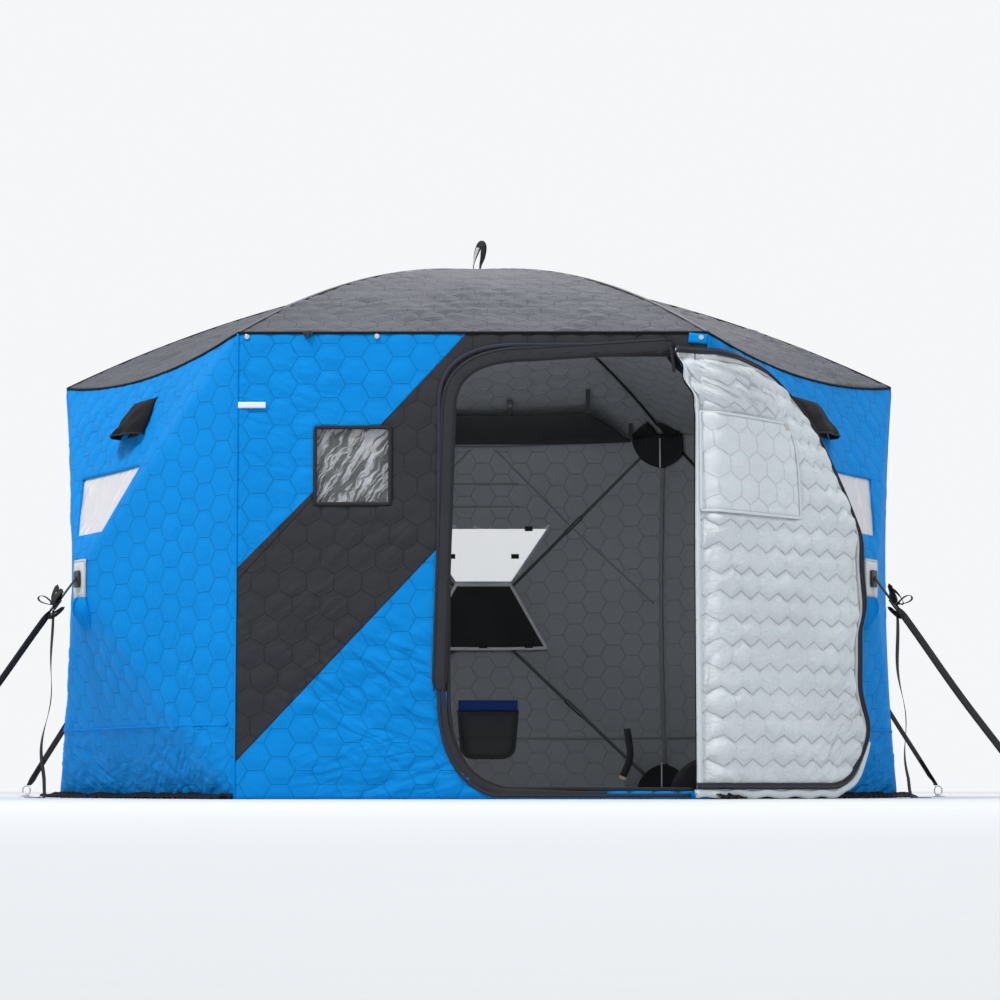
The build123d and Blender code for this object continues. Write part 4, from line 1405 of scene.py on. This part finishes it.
def make_guy(wall):
    """Pull strap from hub to ice anchor, its ladder buckle, carry loop and loose tail."""
    name, turn = NAMES[wall], wall_turn(wall)
    outward, across = wall_axes(wall)
    start = in_row_frame(polar(GUY_FACE + 0.012, turn, HUB_HEIGHT))
    ring = in_row_frame(polar(GUY_FACE + GUY_REACH, turn, RING_HEIGHT))
    length = np.linalg.norm(ring - start)
    line = (ring - start) / length
    above = np.cross(across, line)
    above = above if above[2] > 0 else -above
    hold = start + line * BUCKLE_AT
    pieces = []

    def spots(origin, at, rise, aside=0.0, out=0.0):
        """Points along the guy's line, moved above it, aside and out."""
        ways = ((at, line), (rise, above), (aside, across), (out, outward))
        return origin + sum(np.multiply.outer(far + 0 * at, way) for far, way in ways)

    def belt(kind, path, width, thick=0.002, **more):
        pieces.append(strap("guy_" + kind, path, width, thick, across, **more))

    def part(kind, number, centre, sizes):
        label = "guy_buckle_%s_%s_%d" % (kind, name, number)
        pieces.append(rounded_box(label, centre, (line, across, above), sizes))

    tab = [start - outward * 0.006 + UP * 0.03, start - outward * 0.004 + UP * 0.012, start,
           start + line * 0.03, start + line * 0.112]
    belt("upper_" + name, tab, GUY_WIDE, 0.0025)
    at = np.linspace(0.13, length - 0.026, 30)
    belt("strap_" + name, spots(start, at, 0.003 * np.sin(at * 9)), GUY_WIDE, 0.0022,
         twist=lambda share: 1.35 * np.minimum(1, 5 * np.sin(math.pi * share)))
    at = np.linspace(length - 0.026, length - 0.16, 16)
    belt("return_" + name, spots(start, at, 0.004 + 0.002 * np.sin(at * 30)), GUY_WIDE, 0.0022)
    for side in (-1, 1):
        part("rail", side + 1, hold + across * side * 0.016, (0.046, 0.005, 0.008))
    for number, step in enumerate((-0.019, -0.004, 0.014)):
        part("bar", number, hold + line * step + above * 0.001, (0.006, 0.032, 0.006))
    share = np.linspace(0, 1, 24)
    hump, wave = np.sin(math.pi * share), 2 * math.pi * share
    carry = spots(hold, 0.004 + 0.012 * np.sin(wave), 0.006 + 0.045 * hump, out=0.022 * hump)
    belt("loop_" + name, carry, 0.016, gap=0.006)
    for number, (swing, rise, begin) in enumerate(BUNCHES):
        bunch = spots(hold, begin + 0.03 * np.sin(wave + number), 0.004 + rise * hump, swing * hump)
        belt("bunch_%s_%d" % (name, number), bunch, 0.02, gap=0.006,
             twist=lambda share: 0.9 * share)
    top = hold + line * 0.02 - above * 0.003
    share = np.linspace(0, 1, 40)
    swing = 0.034 * smooth(share, 0.1, 1.0) + 0.012 * np.sin(share * 13 + wall) * share
    sway = 0.01 * np.sin(share * 9 + 2 * wall) * np.sin(math.pi * share)
    tail = top + np.outer(swing, outward) + np.outer(sway, across)
    tail[:, 2] = top[2] - (top[2] - 0.002) * share
    tail[-4:, 2] = [0.03, 0.014, 0.005, 0.0025]
    at = np.linspace(0.01, 0.07, 7)
    foot = tail[-1] + np.outer(at, outward) + np.outer(0.05 * at * np.sin(at * 25), across)
    belt("tail_" + name, np.concatenate([tail, foot + UP * 0.001]), 0.02, gap=0.01,
         twist=lambda share: 0.5 * np.sin(share * 7 + wall) * np.sin(math.pi * share))
    make_anchor(wall, ring, outward, across)
    sewn("webbing", *pieces, instead_of=["guy_straps", "guy_tails"] if wall == 1 else ())


def make_anchor(wall, ring, outward, across):
    """Plated ring on a round plate, where the screw goes into the ice."""
    turns = np.linspace(0, 2 * math.pi, 40, endpoint=False)
    loop = ring + RING_RADIUS * (np.outer(np.cos(turns), outward) + np.outer(np.sin(turns), UP))
    hoop = tube("anchor_ring_" + NAMES[wall], loop, 0.003, "steel", closed_path=True, sides=10)
    base = ring * [1, 1, 0]
    plate = rounded_box("anchor_plate_" + NAMES[wall], base + UP * 0.0027, (outward, across, UP),
                        (0.06, 0.06, 0.005), "steel", soft=1.0)
    post = tube("anchor_post_" + NAMES[wall], [base + UP * 0.004, base + UP * 0.012], 0.006,
                "steel", sides=12)
    sewn("steel", hoop, plate, post, instead_of=["ice_anchors"] if wall == 1 else ())


# The strap on the roof cap, from one end to the other, about the cap's middle
CAP_STRAP = ((-0.02, 0, 0.0), (-0.019, 0.002, 0.03), (-0.012, 0.004, 0.07),
             (-0.001, 0.004, 0.105), (0.009, 0.002, 0.122), (0.017, -0.002, 0.118),
             (0.02, -0.004, 0.1), (0.016, -0.006, 0.065), (0.008, -0.008, 0.035),
             (0.004, -0.008, 0.003))
CAP_STRAP_SIDE = (0.15, 1.0, 0)
CAP_RINGS = 15
CAP_ROUND = 72


def make_roof_cap():
    """Padded hexagon at the top of the roof, its bound edge and the twisted strap."""
    sixth = math.radians(60)
    turns = np.linspace(0, 2 * math.pi, CAP_ROUND, endpoint=False)
    share = np.maximum(np.arange(CAP_RINGS) / (CAP_RINGS - 1), 0.002)[:, None]
    reach = share * CAP_RADIUS * math.cos(sixth / 2) / np.cos(turns % sixth - sixth / 2)
    rise = APEX + 0.006 * (1 - share**4) - 0.001 + 0.0012 * np.sin(9 * share) + 0 * turns
    points = np.stack([reach * np.cos(turns), reach * np.sin(turns), rise], -1)
    outer = in_row_frame(points)
    index = np.arange(CAP_RINGS * CAP_ROUND).reshape(CAP_RINGS, CAP_ROUND)
    after = np.roll(index, -1, axis=1)
    quads = np.stack([index[:-1], index[1:], after[1:], after[:-1]], -1).reshape(-1, 4)
    triangles = np.concatenate([quads[:, [0, 1, 2]], quads[:, [0, 2, 3]]])
    layer = outer.reshape(-1, 3)
    cap = shell("roof_cap_cloth", points[..., :2].reshape(-1, 2), triangles, layer,
                layer - [0, 0, CLOTH], "plain_roof", "lining", "plain_roof")
    rim = tube("roof_cap_edge", outer[-1] + [0, 0, 0.0015], 0.005, "roof_tape", closed_path=True)
    sewn("roof_cloth", cap, rim, instead_of=["roof_cap"])
    path = in_row_frame([0.0, 0.0, APEX]) + np.array(CAP_STRAP)
    loop = strap("roof_loop", smooth_path(path, 60), 0.024, 0.0025, CAP_STRAP_SIDE, gap=0.004,
                 twist=lambda share: 1.3 * np.sin(share * math.pi) ** 2)
    pad = strap("roof_loop_patch", smooth_path(path[1:4], 12) - [0.0015, 0.002, 0], 0.018, 0.003,
                CAP_STRAP_SIDE, "pale_tape", gap=0.006, twist=lambda share: 0.25 + 0.7 * share)
    sewn("webbing", loop, pad, instead_of=["roof_strap"])


# Fittings inside
# Along a sleeve from its middle, and its radius there
SLEEVE = np.array([(-0.055, 0.0066), (-0.052, 0.0092), (-0.04, 0.0098),
                   (0.04, 0.0098), (0.052, 0.0092), (0.055, 0.0066)])
COVER = {"high": 0.926, "low": 0.645, "top_half": 0.12, "low_half": 0.277}
COVER_DEPTH = -(CLOTH + 0.0215)
POCKET = {"left": -0.1505, "right": 0.1065, "low": 0.168, "high": 0.416}
POCKET_DEPTH = CLOTH + 0.006
NET_HALF = 0.45
NET_SPREAD = 0.19
NET_NEAR = 1.05
NET_DEEP = 0.24
NET_HIGH = 1.6185
TIP_DEPTH = CLOTH + 0.0225
TIP_RADIUS = 0.15
TIP_LOW_RADIUS = 0.135


def islands(node):
    """Points of each separate solid of a CAD node, in the row frame."""
    thing = bpy.data.objects[node]
    count = len(thing.data.vertices)
    spots = np.zeros(count * 3)
    thing.data.vertices.foreach_get("co", spots)
    spots = spots.reshape(-1, 3)
    near = {}
    group = [near.setdefault(tuple(spot), index)
             for index, spot in enumerate(np.round(spots, 5).tolist())]
    parent = list(range(count))

    def root(index):
        while parent[index] != index:
            parent[index] = parent[parent[index]]
            index = parent[index]
        return index

    for edge in thing.data.edges:
        a, b = (root(group[vertex]) for vertex in edge.vertices)
        parent[a] = b
    roots = np.array([root(index) for index in group])
    world = np.array(thing.matrix_world)
    spots = spots @ world[:3, :3].T + world[:3, 3]
    return [spots[roots == value] for value in np.unique(roots)]


def long_axis(points):
    """Ends of a slender solid's axis."""
    middle = (points.max(0) + points.min(0)) / 2
    along = (points - middle) @ np.linalg.svd(points - points.mean(0))[2][0]
    ends = along.min(), along.max()
    return np.array([points[np.abs(along - end) < 0.004].mean(0) for end in ends])


def make_poles():
    """Round rods with the sleeves that join their sections."""
    for number, points in enumerate(islands("wall_poles")):
        start, end = long_axis(points)
        line = start + np.outer(np.linspace(0, 1, 12), end - start)
        ahead = (end - start) / np.linalg.norm(end - start)
        joint = (start + end) / 2 + np.outer(SLEEVE[:, 0], ahead)
        sewn(
            "pole", tube("wall_pole_%d" % number, line, POLE, "pole", sides=14),
            tube("pole_sleeve_%d" % number, joint, SLEEVE[:, 1], "ferrule", sides=14),
            instead_of=() if number else ["wall_poles"],
        )


def make_window_cover(wall):
    """Folded-down cover under each side window, with its bound edge and tabs."""
    name = NAMES[wall]
    high, low, top_half, low_half = COVER.values()
    loop = [(-top_half, high), (-low_half, low), (low_half, low), (top_half, high)]
    flat, triangles = cut_cloth(loop, flat_top=False, spacing=0.014)
    base = on_wall(wall, *flat.T, COVER_DEPTH)
    inner = face(wall, COVER_DEPTH, -1)
    normals = normals_of(base, triangles)
    inward = normals * np.sign((normals @ -wall_axes(wall)[0]).mean())
    waves = ripple(base, 0.1, 0.004, 30 + wall) * held_in(flat, [loop], 0.03)
    cover = shell("window_cover_" + name, flat, triangles[:, ::-1],
                  base + inward * (waves + 0.003)[:, None], base, "plain_black", "plain_black",
                  "pale_tape")
    pieces = [cover, tape("window_cover_edge_" + name, inner, loop, 0.014, 0.0055, "cover_edge",
                          thick=0.006, crown=0.001, closed_path=True)]

    def tab(kind, number, place, s, z, half, lift, thick):
        label, line = "window_%s_%s_%d" % (kind, name, number), [(s - half, z), (s + half, z)]
        pieces.append(tape(label, place, line, 0.02, lift, "plain_black", thick=thick, gap=0.008))

    for number, s in enumerate((-0.2, 0.0, 0.2)):
        tab("cover_tab", number, inner, s, low + 0.012, 0.018, 0.0075, 0.003)
    for number, (s, z) in enumerate(((-0.2, 1.168), (0.2, 1.168), (-0.14, 1.05), (0.14, 1.05))):
        tab("tab", number, face(wall, -CLOTH, -1), s, z, 0.017, 0.006, 0.004)
    sewn("cover_cloth", *pieces, instead_of=["window_covers"] if wall == 1 else ())


def make_wall_pocket():
    """Mesh pocket with a broad band along its top."""
    left, right, low, high = POCKET.values()
    loop = (
        [(right, high - 0.04), (left, high - 0.04)]
        + soft_corner((left + 0.012, low), (left + 0.012, low + 0.06), (left + 0.07, low), 6)
        + soft_corner((right - 0.012, low), (right - 0.07, low), (right - 0.012, low + 0.06), 6)
    )
    flat, triangles = cut_cloth(loop, flat_top=False, spacing=0.012)
    free = held_in(flat, [loop], 0.05)
    crumple = ripple(np.pad(flat, ((0, 0), (0, 1))), 0.05, 0.003, 8) * free
    base = on_wall(BACK, *flat.T, -(POCKET_DEPTH + 0.012 * free * (2 - free) + crumple))
    mesh = shell("pocket_mesh", flat, triangles[:, ::-1], base - wall_axes(BACK)[0] * 0.001, base,
                 "pocket_mesh")
    place, middle = face(BACK, -POCKET_DEPTH, -1), high - 0.022
    sewn(
        "cover_cloth", mesh,
        tape("pocket_band", place, [(left, middle), (right, middle)], 0.046, 0.009, "navy",
             thick=0.01, crown=0.002, gap=0.01),
        tape("pocket_edge", place, loop[1:] + loop[:1], 0.012, 0.004, "binding", thick=0.006,
             crown=0.001),
        instead_of=["wall_pocket"],
    )


def make_gear_net():
    """Fine net slung under the back of the roof, on a bound edge with clips."""
    back, across = grid(25, 61)
    x = across * (NET_HALF + NET_SPREAD * back)
    y = NET_NEAR + NET_DEEP * back
    sag = (1 - across**4) * (0.01 * (1 - back) + 0.035 * np.sin(math.pi * back) + 0.01 * back)
    points = in_row_frame(np.stack([x, y, NET_HIGH - 0.09 * back - sag], -1))
    crumple = ripple(points.reshape(-1, 3), 0.09, 0.006, 51).reshape(back.shape)
    points[..., 2] += crumple * np.sin(math.pi * back)
    lower = points - [0, 0, 0.0012]
    pieces = [grid_sheet("gear_net_mesh", points, lower, np.stack([x, y], -1), "net")]
    edge = np.concatenate([points[0], points[1:, -1], points[-1, -2::-1], points[-2:0:-1, 0]])
    pieces.append(tube("gear_net_edge", edge, 0.004, "binding", closed_path=True))
    for number, x in enumerate((-0.2, 0.12)):
        spot = points[0][round((x / NET_HALF + 1) / 2 * 60)]
        hook = [spot + UP * rise for rise in (0.0, 0.02, 0.045)]
        pieces.append(strap("net_hook_%d" % number, hook, 0.012, 0.003, (1, 0, 0)))
        pieces.append(rounded_box("net_clip_%d" % number, spot + UP * 0.05, LEVEL_AXES,
                                  (0.022, 0.01, 0.03)))
    sewn("webbing", *pieces, instead_of=["gear_net"])


def make_skirt(wall):
    """Loose cloth flap on the ice along a hub wall, gathered into small wrinkles."""
    out, along = grid(13, 121)
    s = along * (HALF + SKIRT * math.tan(math.radians(30)) * out)
    reach = 0.002 + SKIRT * out
    rise = 0.003 + (0.013 * np.sin(s * 62 + 3 * wall + 2 * np.sin(s * 11)) ** 2
                    + 0.006 * np.sin(s * 140 + wall)) * np.sin(math.pi * out * 0.8 + 0.2)
    rise = np.maximum(rise + 0.014 * (1 - out) ** 3, 0.003)
    points = on_wall(wall, s, rise, reach, reach=0.0)
    sewn("dark_cloth", grid_sheet(
        "skirt_" + NAMES[wall], points, points - [0, 0, 0.002], np.stack([s, reach], -1), "skirt",
    ), instead_of=["snow_skirt"] if wall == 1 else ())


def seam(name, place, path, width, lift, look, thick):
    sewn("blue_cloth", tape(name, place, path, width, lift, look, thick=thick, crown=0.001))


def make_inner_tapes():
    """Tape over the seams inside, along the corners and above the skirt."""
    for corner in range(6):
        heights = np.linspace(0.03, EAVE - 0.13, 40)
        edge = -HALF + side_bow(corner, -1.0, heights) / 2 + 0.012
        seam("inner_corner_tape_%d" % corner, face(corner, -CLOTH, -1),
             np.stack([edge, heights], -1), 0.016, 0.004, "seam_tape", 0.005)
    path = [(-HALF + 0.03, 0.25), (HALF - 0.03, 0.25)]
    for wall in HUB_WALLS:
        name = "_skirt_seam_" + NAMES[wall]
        seam("inner" + name, face(wall, -CLOTH, -1), path, 0.01, 0.0065, "seam_tape", 0.005)
        seam("outer" + name, face(wall), path, 0.007, 0.0075, "plain_blue", 0.006)


def make_corner_pockets():
    """Round pockets of cloth over the pole tips, in every corner, with a cross of tape."""
    made = {"top": [], "bottom": []}
    eave, slope = EAVE - 0.012, GORE_RUN[-1] - 0.006

    def quarter(side, foot, radius, way, low=0.0, count=14):
        """A corner of the cloth and the quarter circle round it."""
        corner = side * (HALF - 0.004)
        return [(corner, foot)] + [
            (corner - side * radius * math.cos(turn), foot + way * radius * math.sin(turn))
            for turn in np.linspace(low, math.pi / 2, count)
        ]

    def pocket(kind, name, loop, place, aside):
        flat, triangles = cut_cloth(loop, flat_top=False, spacing=0.02)
        base = place(*flat.T)
        cloth = shell("pocket_" + name, flat, triangles, base, base + aside, "plain_black")
        made[kind].append(cloth)

    for wall in range(6):
        for side in (-1, 1):
            name = "%s_%d" % (NAMES[wall], side + 1)
            for kind, loop in (("bottom", quarter(side, 0.004, TIP_LOW_RADIUS, 1)),
                               ("top", quarter(side, eave, TIP_RADIUS, -1))):
                pocket(kind, kind + "_" + name, loop, lambda s, z: on_wall(wall, s, z, -TIP_DEPTH),
                       wall_axes(wall)[0] * -0.003)
            loop = [(side * min(side * x, np.interp(-y, GORE_RUN, GORE_HALF) - 0.02), y)
                    for x, y in quarter(side, -slope, TIP_RADIUS, 1, 0.2, 12)]
            pocket("top", "roof_" + name, loop, lambda x, y: on_gore(wall, x, y, -TIP_DEPTH),
                   [0, 0, -0.003])
    for wall in range(6):
        heights = np.linspace(EAVE - 0.16, EAVE - 0.03, 12)
        for number, z in ((1, heights), (0, heights - EAVE + 0.175)):
            path = np.stack([np.full(12, -HALF + 0.03), z], -1)
            sewn("dark_cloth", tape(
                "pocket_tape_%d_%d" % (wall, number), face(wall, -TIP_DEPTH - 0.003, -1), path, 0.006,
                0.003, "cover_edge", thick=0.003,
            ))
    for kind, pieces in made.items():
        sewn("dark_cloth", *pieces, instead_of=["corner_pockets_" + kind])


def make_back_seams():
    """Tapes across the back wall inside, and the strap that hangs before it."""
    for number, path in enumerate((
        [(-0.056, 1.5), (-0.74, 0.83)], [(0.056, 1.5), (0.74, 0.83)],
        [(0.16, 1.358), (-0.155, 1.358)], [(0.16, 1.262), (-0.155, 1.262)],
    )):
        seam("back_seam_%d" % number, face(BACK, -CLOTH, -1), path, 0.007, 0.0085, "seam_tape",
             0.007)
    hang = in_row_frame([(0.616, 1.2, 0.287), (0.628, 1.19, 0.17), (0.598, 1.18, 0.085)])
    tail = smooth_path(hang, 20)
    tip = tail[-2:] + np.outer([1.0, 1.4], tail[-1] - tail[-2])
    side = (1, 0.2, 0)
    sewn("webbing", strap("inner_strap", tail, 0.03, 0.003, side),
         strap("inner_strap_tip", tip, 0.031, 0.004, side, "beige"))


# Stage, light and camera
BACKDROP = (0.91, 0.925, 0.945, 1)


def linked(tree, kind, *sources, **values):
    """New node with its first inputs linked, and values put into others by their label."""
    node = tree.nodes.new("ShaderNode" + kind)
    for source, socket in zip(sources, node.inputs):
        tree.links.new(source, socket)
    for label, value in values.items():
        node.inputs[label.replace("_", " ")].default_value = value
    return node


def seen_directly(tree):
    """1 for what the camera sees, also in metal and through film."""
    path = linked(tree, "LightPath")
    share = path.outputs["Is Camera Ray"]
    for label in ("Is Glossy Ray", "Is Transmission Ray"):
        either = linked(tree, "Math", share, path.outputs[label])
        either.operation = "MAXIMUM"
        share = either.outputs[0]
    return share


def make_floor():
    """Pale floor that runs out to the horizon, and a plain pale background."""
    mesh = bpy.data.meshes.new("floor")
    size, low = 60.0, -0.0006
    corners = [(-size, -size, low), (size, -size, low), (size, size, low), (-size, size, low)]
    mesh.from_pydata(corners, [], [(0, 1, 2, 3)])
    shader = Shader("floor", roughness=0.8)
    spot = shader.place()
    tone = shader.mix(shader.noise(spot, 1.3, 3.0), (0.62, 0.63, 0.64), (0.67, 0.68, 0.69))
    mesh.materials.append(
        shader.finish(tone, 0.8, shader.bump(shader.noise(spot, 30.0, 3.0), 0.002))
    )
    tree = shader.tree
    glow = linked(tree, "Emission", Color=BACKDROP)
    far = shader.step(shader.vector("LENGTH", spot), 5.0, 18.0)
    choice = linked(tree, "MixShader", shader.times(far, seen_directly(tree)),
                    shader.surface.outputs[0], glow.outputs[0])
    tree.links.new(choice.outputs[0], shader.output.inputs["Surface"])
    floor = bpy.data.objects.new("floor", mesh)
    bpy.context.scene.collection.objects.link(floor)
    floor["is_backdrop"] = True


def make_world():
    """Daylight that is stronger from above, before a plain background."""
    world = bpy.data.worlds.new("daylight")
    bpy.context.scene.world = world
    world.use_nodes = True
    tree = world.node_tree
    tree.nodes.clear()
    light = linked(tree, "Background", Color=(0.9, 0.95, 1.0, 1))
    parts = linked(tree, "SeparateXYZ", linked(tree, "TexCoord").outputs["Generated"])
    rise = linked(tree, "MapRange", parts.outputs[2], From_Min=-0.15, To_Min=0.32, To_Max=1.05)
    rise.interpolation_type = "SMOOTHSTEP"
    tree.links.new(rise.outputs["Result"], light.inputs["Strength"])
    seen = linked(tree, "Background", Color=BACKDROP, Strength=1.0)
    choice = linked(tree, "MixShader", seen_directly(tree), light.outputs[0], seen.outputs[0])
    linked(tree, "OutputWorld", choice.outputs[0])


def make_lamp(name, spot, target, size, power, colour=(1, 1, 1)):
    data = bpy.data.lights.new(name, "AREA")
    data.shape = "DISK"
    data.size = size
    data.energy = power
    data.color = colour
    lamp = bpy.data.objects.new(name, data)
    bpy.context.scene.collection.objects.link(lamp)
    lamp.location = spot
    lamp.rotation_euler = (Vector(target) - Vector(spot)).to_track_quat("-Z", "Y").to_euler()
    lamp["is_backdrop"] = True
    return lamp


def make_camera():
    data = bpy.data.cameras.new("camera")
    data.sensor_width = 36.0
    data.lens = 103.83
    data.clip_end = 300.0
    camera = bpy.data.objects.new("camera", data)
    bpy.context.scene.collection.objects.link(camera)
    camera.location = (0.1558, -11.5042, 0.04)
    camera.rotation_euler = (math.radians(95.684), 0, math.radians(0.372))
    bpy.context.scene.camera = camera


# How each sheet is held, and what it hangs from or lies on; %s is its wall
HELD = (
    ("wall_cloth_", "stretched", "wall_poles"), ("front_cloth", "stretched", "wall_poles"),
    ("roof_cloth_", "stretched", "roof_poles"), ("roof_cap_cloth", "laid", "roof_cloth_front"),
    ("window_film_", "stretched", "wall_cloth_%s"),
    ("front_window_film", "stretched", "front_cloth"),
    ("door_cloth", "hung", "door_hinge_tape"), ("door_window_film", "stretched", "door_cloth"),
    ("door_cover_cloth", "hung", "door_cloth"), ("vent_hood_", "hung", "wall_cloth_%s"),
    ("hub_pad_", "laid", "wall_cloth_%s"), ("hub_pouch_", "gathered", "hub_pad_%s"),
    ("window_cover_", "hung", "wall_cloth_%s"), ("pocket_mesh", "hung", "wall_cloth_%s"),
    ("gear_net_mesh", "hung", "net_straps"), ("skirt_", "gathered", "wall_cloth_%s"),
    ("pocket_roof_", "stretched", "roof_cloth_%s"), ("pocket_", "stretched", "wall_cloth_%s"),
)
# What the names of the trim sewn to a sheet begin with
TRIM = {
    "door_cloth": "leaf_", "door_cover_cloth": "door_cover_", "vent_hood_": "vent_hood_edge_%s",
    "hub_pad_": "hub_pad_edge_%s", "window_cover_": "window_cover_edge_%s",
    "pocket_mesh": ("pocket_band", "pocket_edge"), "gear_net_mesh": "gear_net_",
    "roof_cap_cloth": "roof_cap_",
}


def declare_sheets():
    """Look up, for each cut cloth, how it is held, what holds it and its trim; nothing is done with
    them.
    """
    for name, (width, length, area) in CUTS.items():
        start, held, rest = next(row for row in HELD if name.startswith(row[0]))
        wall = max((part for part in NAMES if part in name), key=len, default="back")
        if "%s" in rest:
            rest = rest % wall if wall != "front" or "roof" in rest else "front_cloth"
        trim = TRIM.get(start, ())
        trim = trim % wall if "%s" in trim else trim


bpy.context.scene.view_settings.view_transform = "Standard"
make_floor()
make_world()
make_lamp("key", (-4.5, -6.0, 9.5), (0, -0.7, 0.8), 2.6, 700, (1.0, 0.99, 0.97))
make_lamp("fill", (6.5, -7.0, 6.5), (0.3, -0.5, 0.8), 4.0, 130, (0.95, 0.97, 1.0))
make_lamp("back", (1.0, 7.0, 8.0), (0, 0, 1.2), 6.0, 300)
inner = make_lamp("inside", (0.1, -0.55, 1.1), (0.15, 1.2, 0.85), 1.3, 13, (0.93, 0.97, 1.0))
inner.visible_camera = False
make_camera()


def for_each(walls, *makers):
    for wall in walls:
        for make in makers:
            make(wall)


for_each(HUB_WALLS, make_hub_wall, make_side_window)
for_each(range(6), make_gore)
make_front()
make_front_film()
make_leaf()
make_front_trim()
make_seams()
for_each(HOOD_WALLS, make_hood)
for_each(HUB_WALLS, make_hub_patch, make_guy)
make_roof_cap()
make_leaf_trim()
make_poles()
for_each(HUB_WALLS, make_window_cover)
make_wall_pocket()
make_gear_net()
for_each(HUB_WALLS, make_skirt)
make_inner_tapes()
make_corner_pockets()
make_back_seams()
for node, look in (("wall_hubs", "plastic"), ("roof_hub", "plastic"), ("roof_poles", "pole"),
                   ("net_straps", "webbing"), ("door_hinge_tape", "flap")):
    mesh = bpy.data.objects[node].data
    mesh.materials.clear()
    mesh.materials.append(paint[look])

flatten_door()
declare_sheets()

for box in (cad_box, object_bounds()):
    json.dumps([list(map(float, corner)) for corner in box]) + "\n"
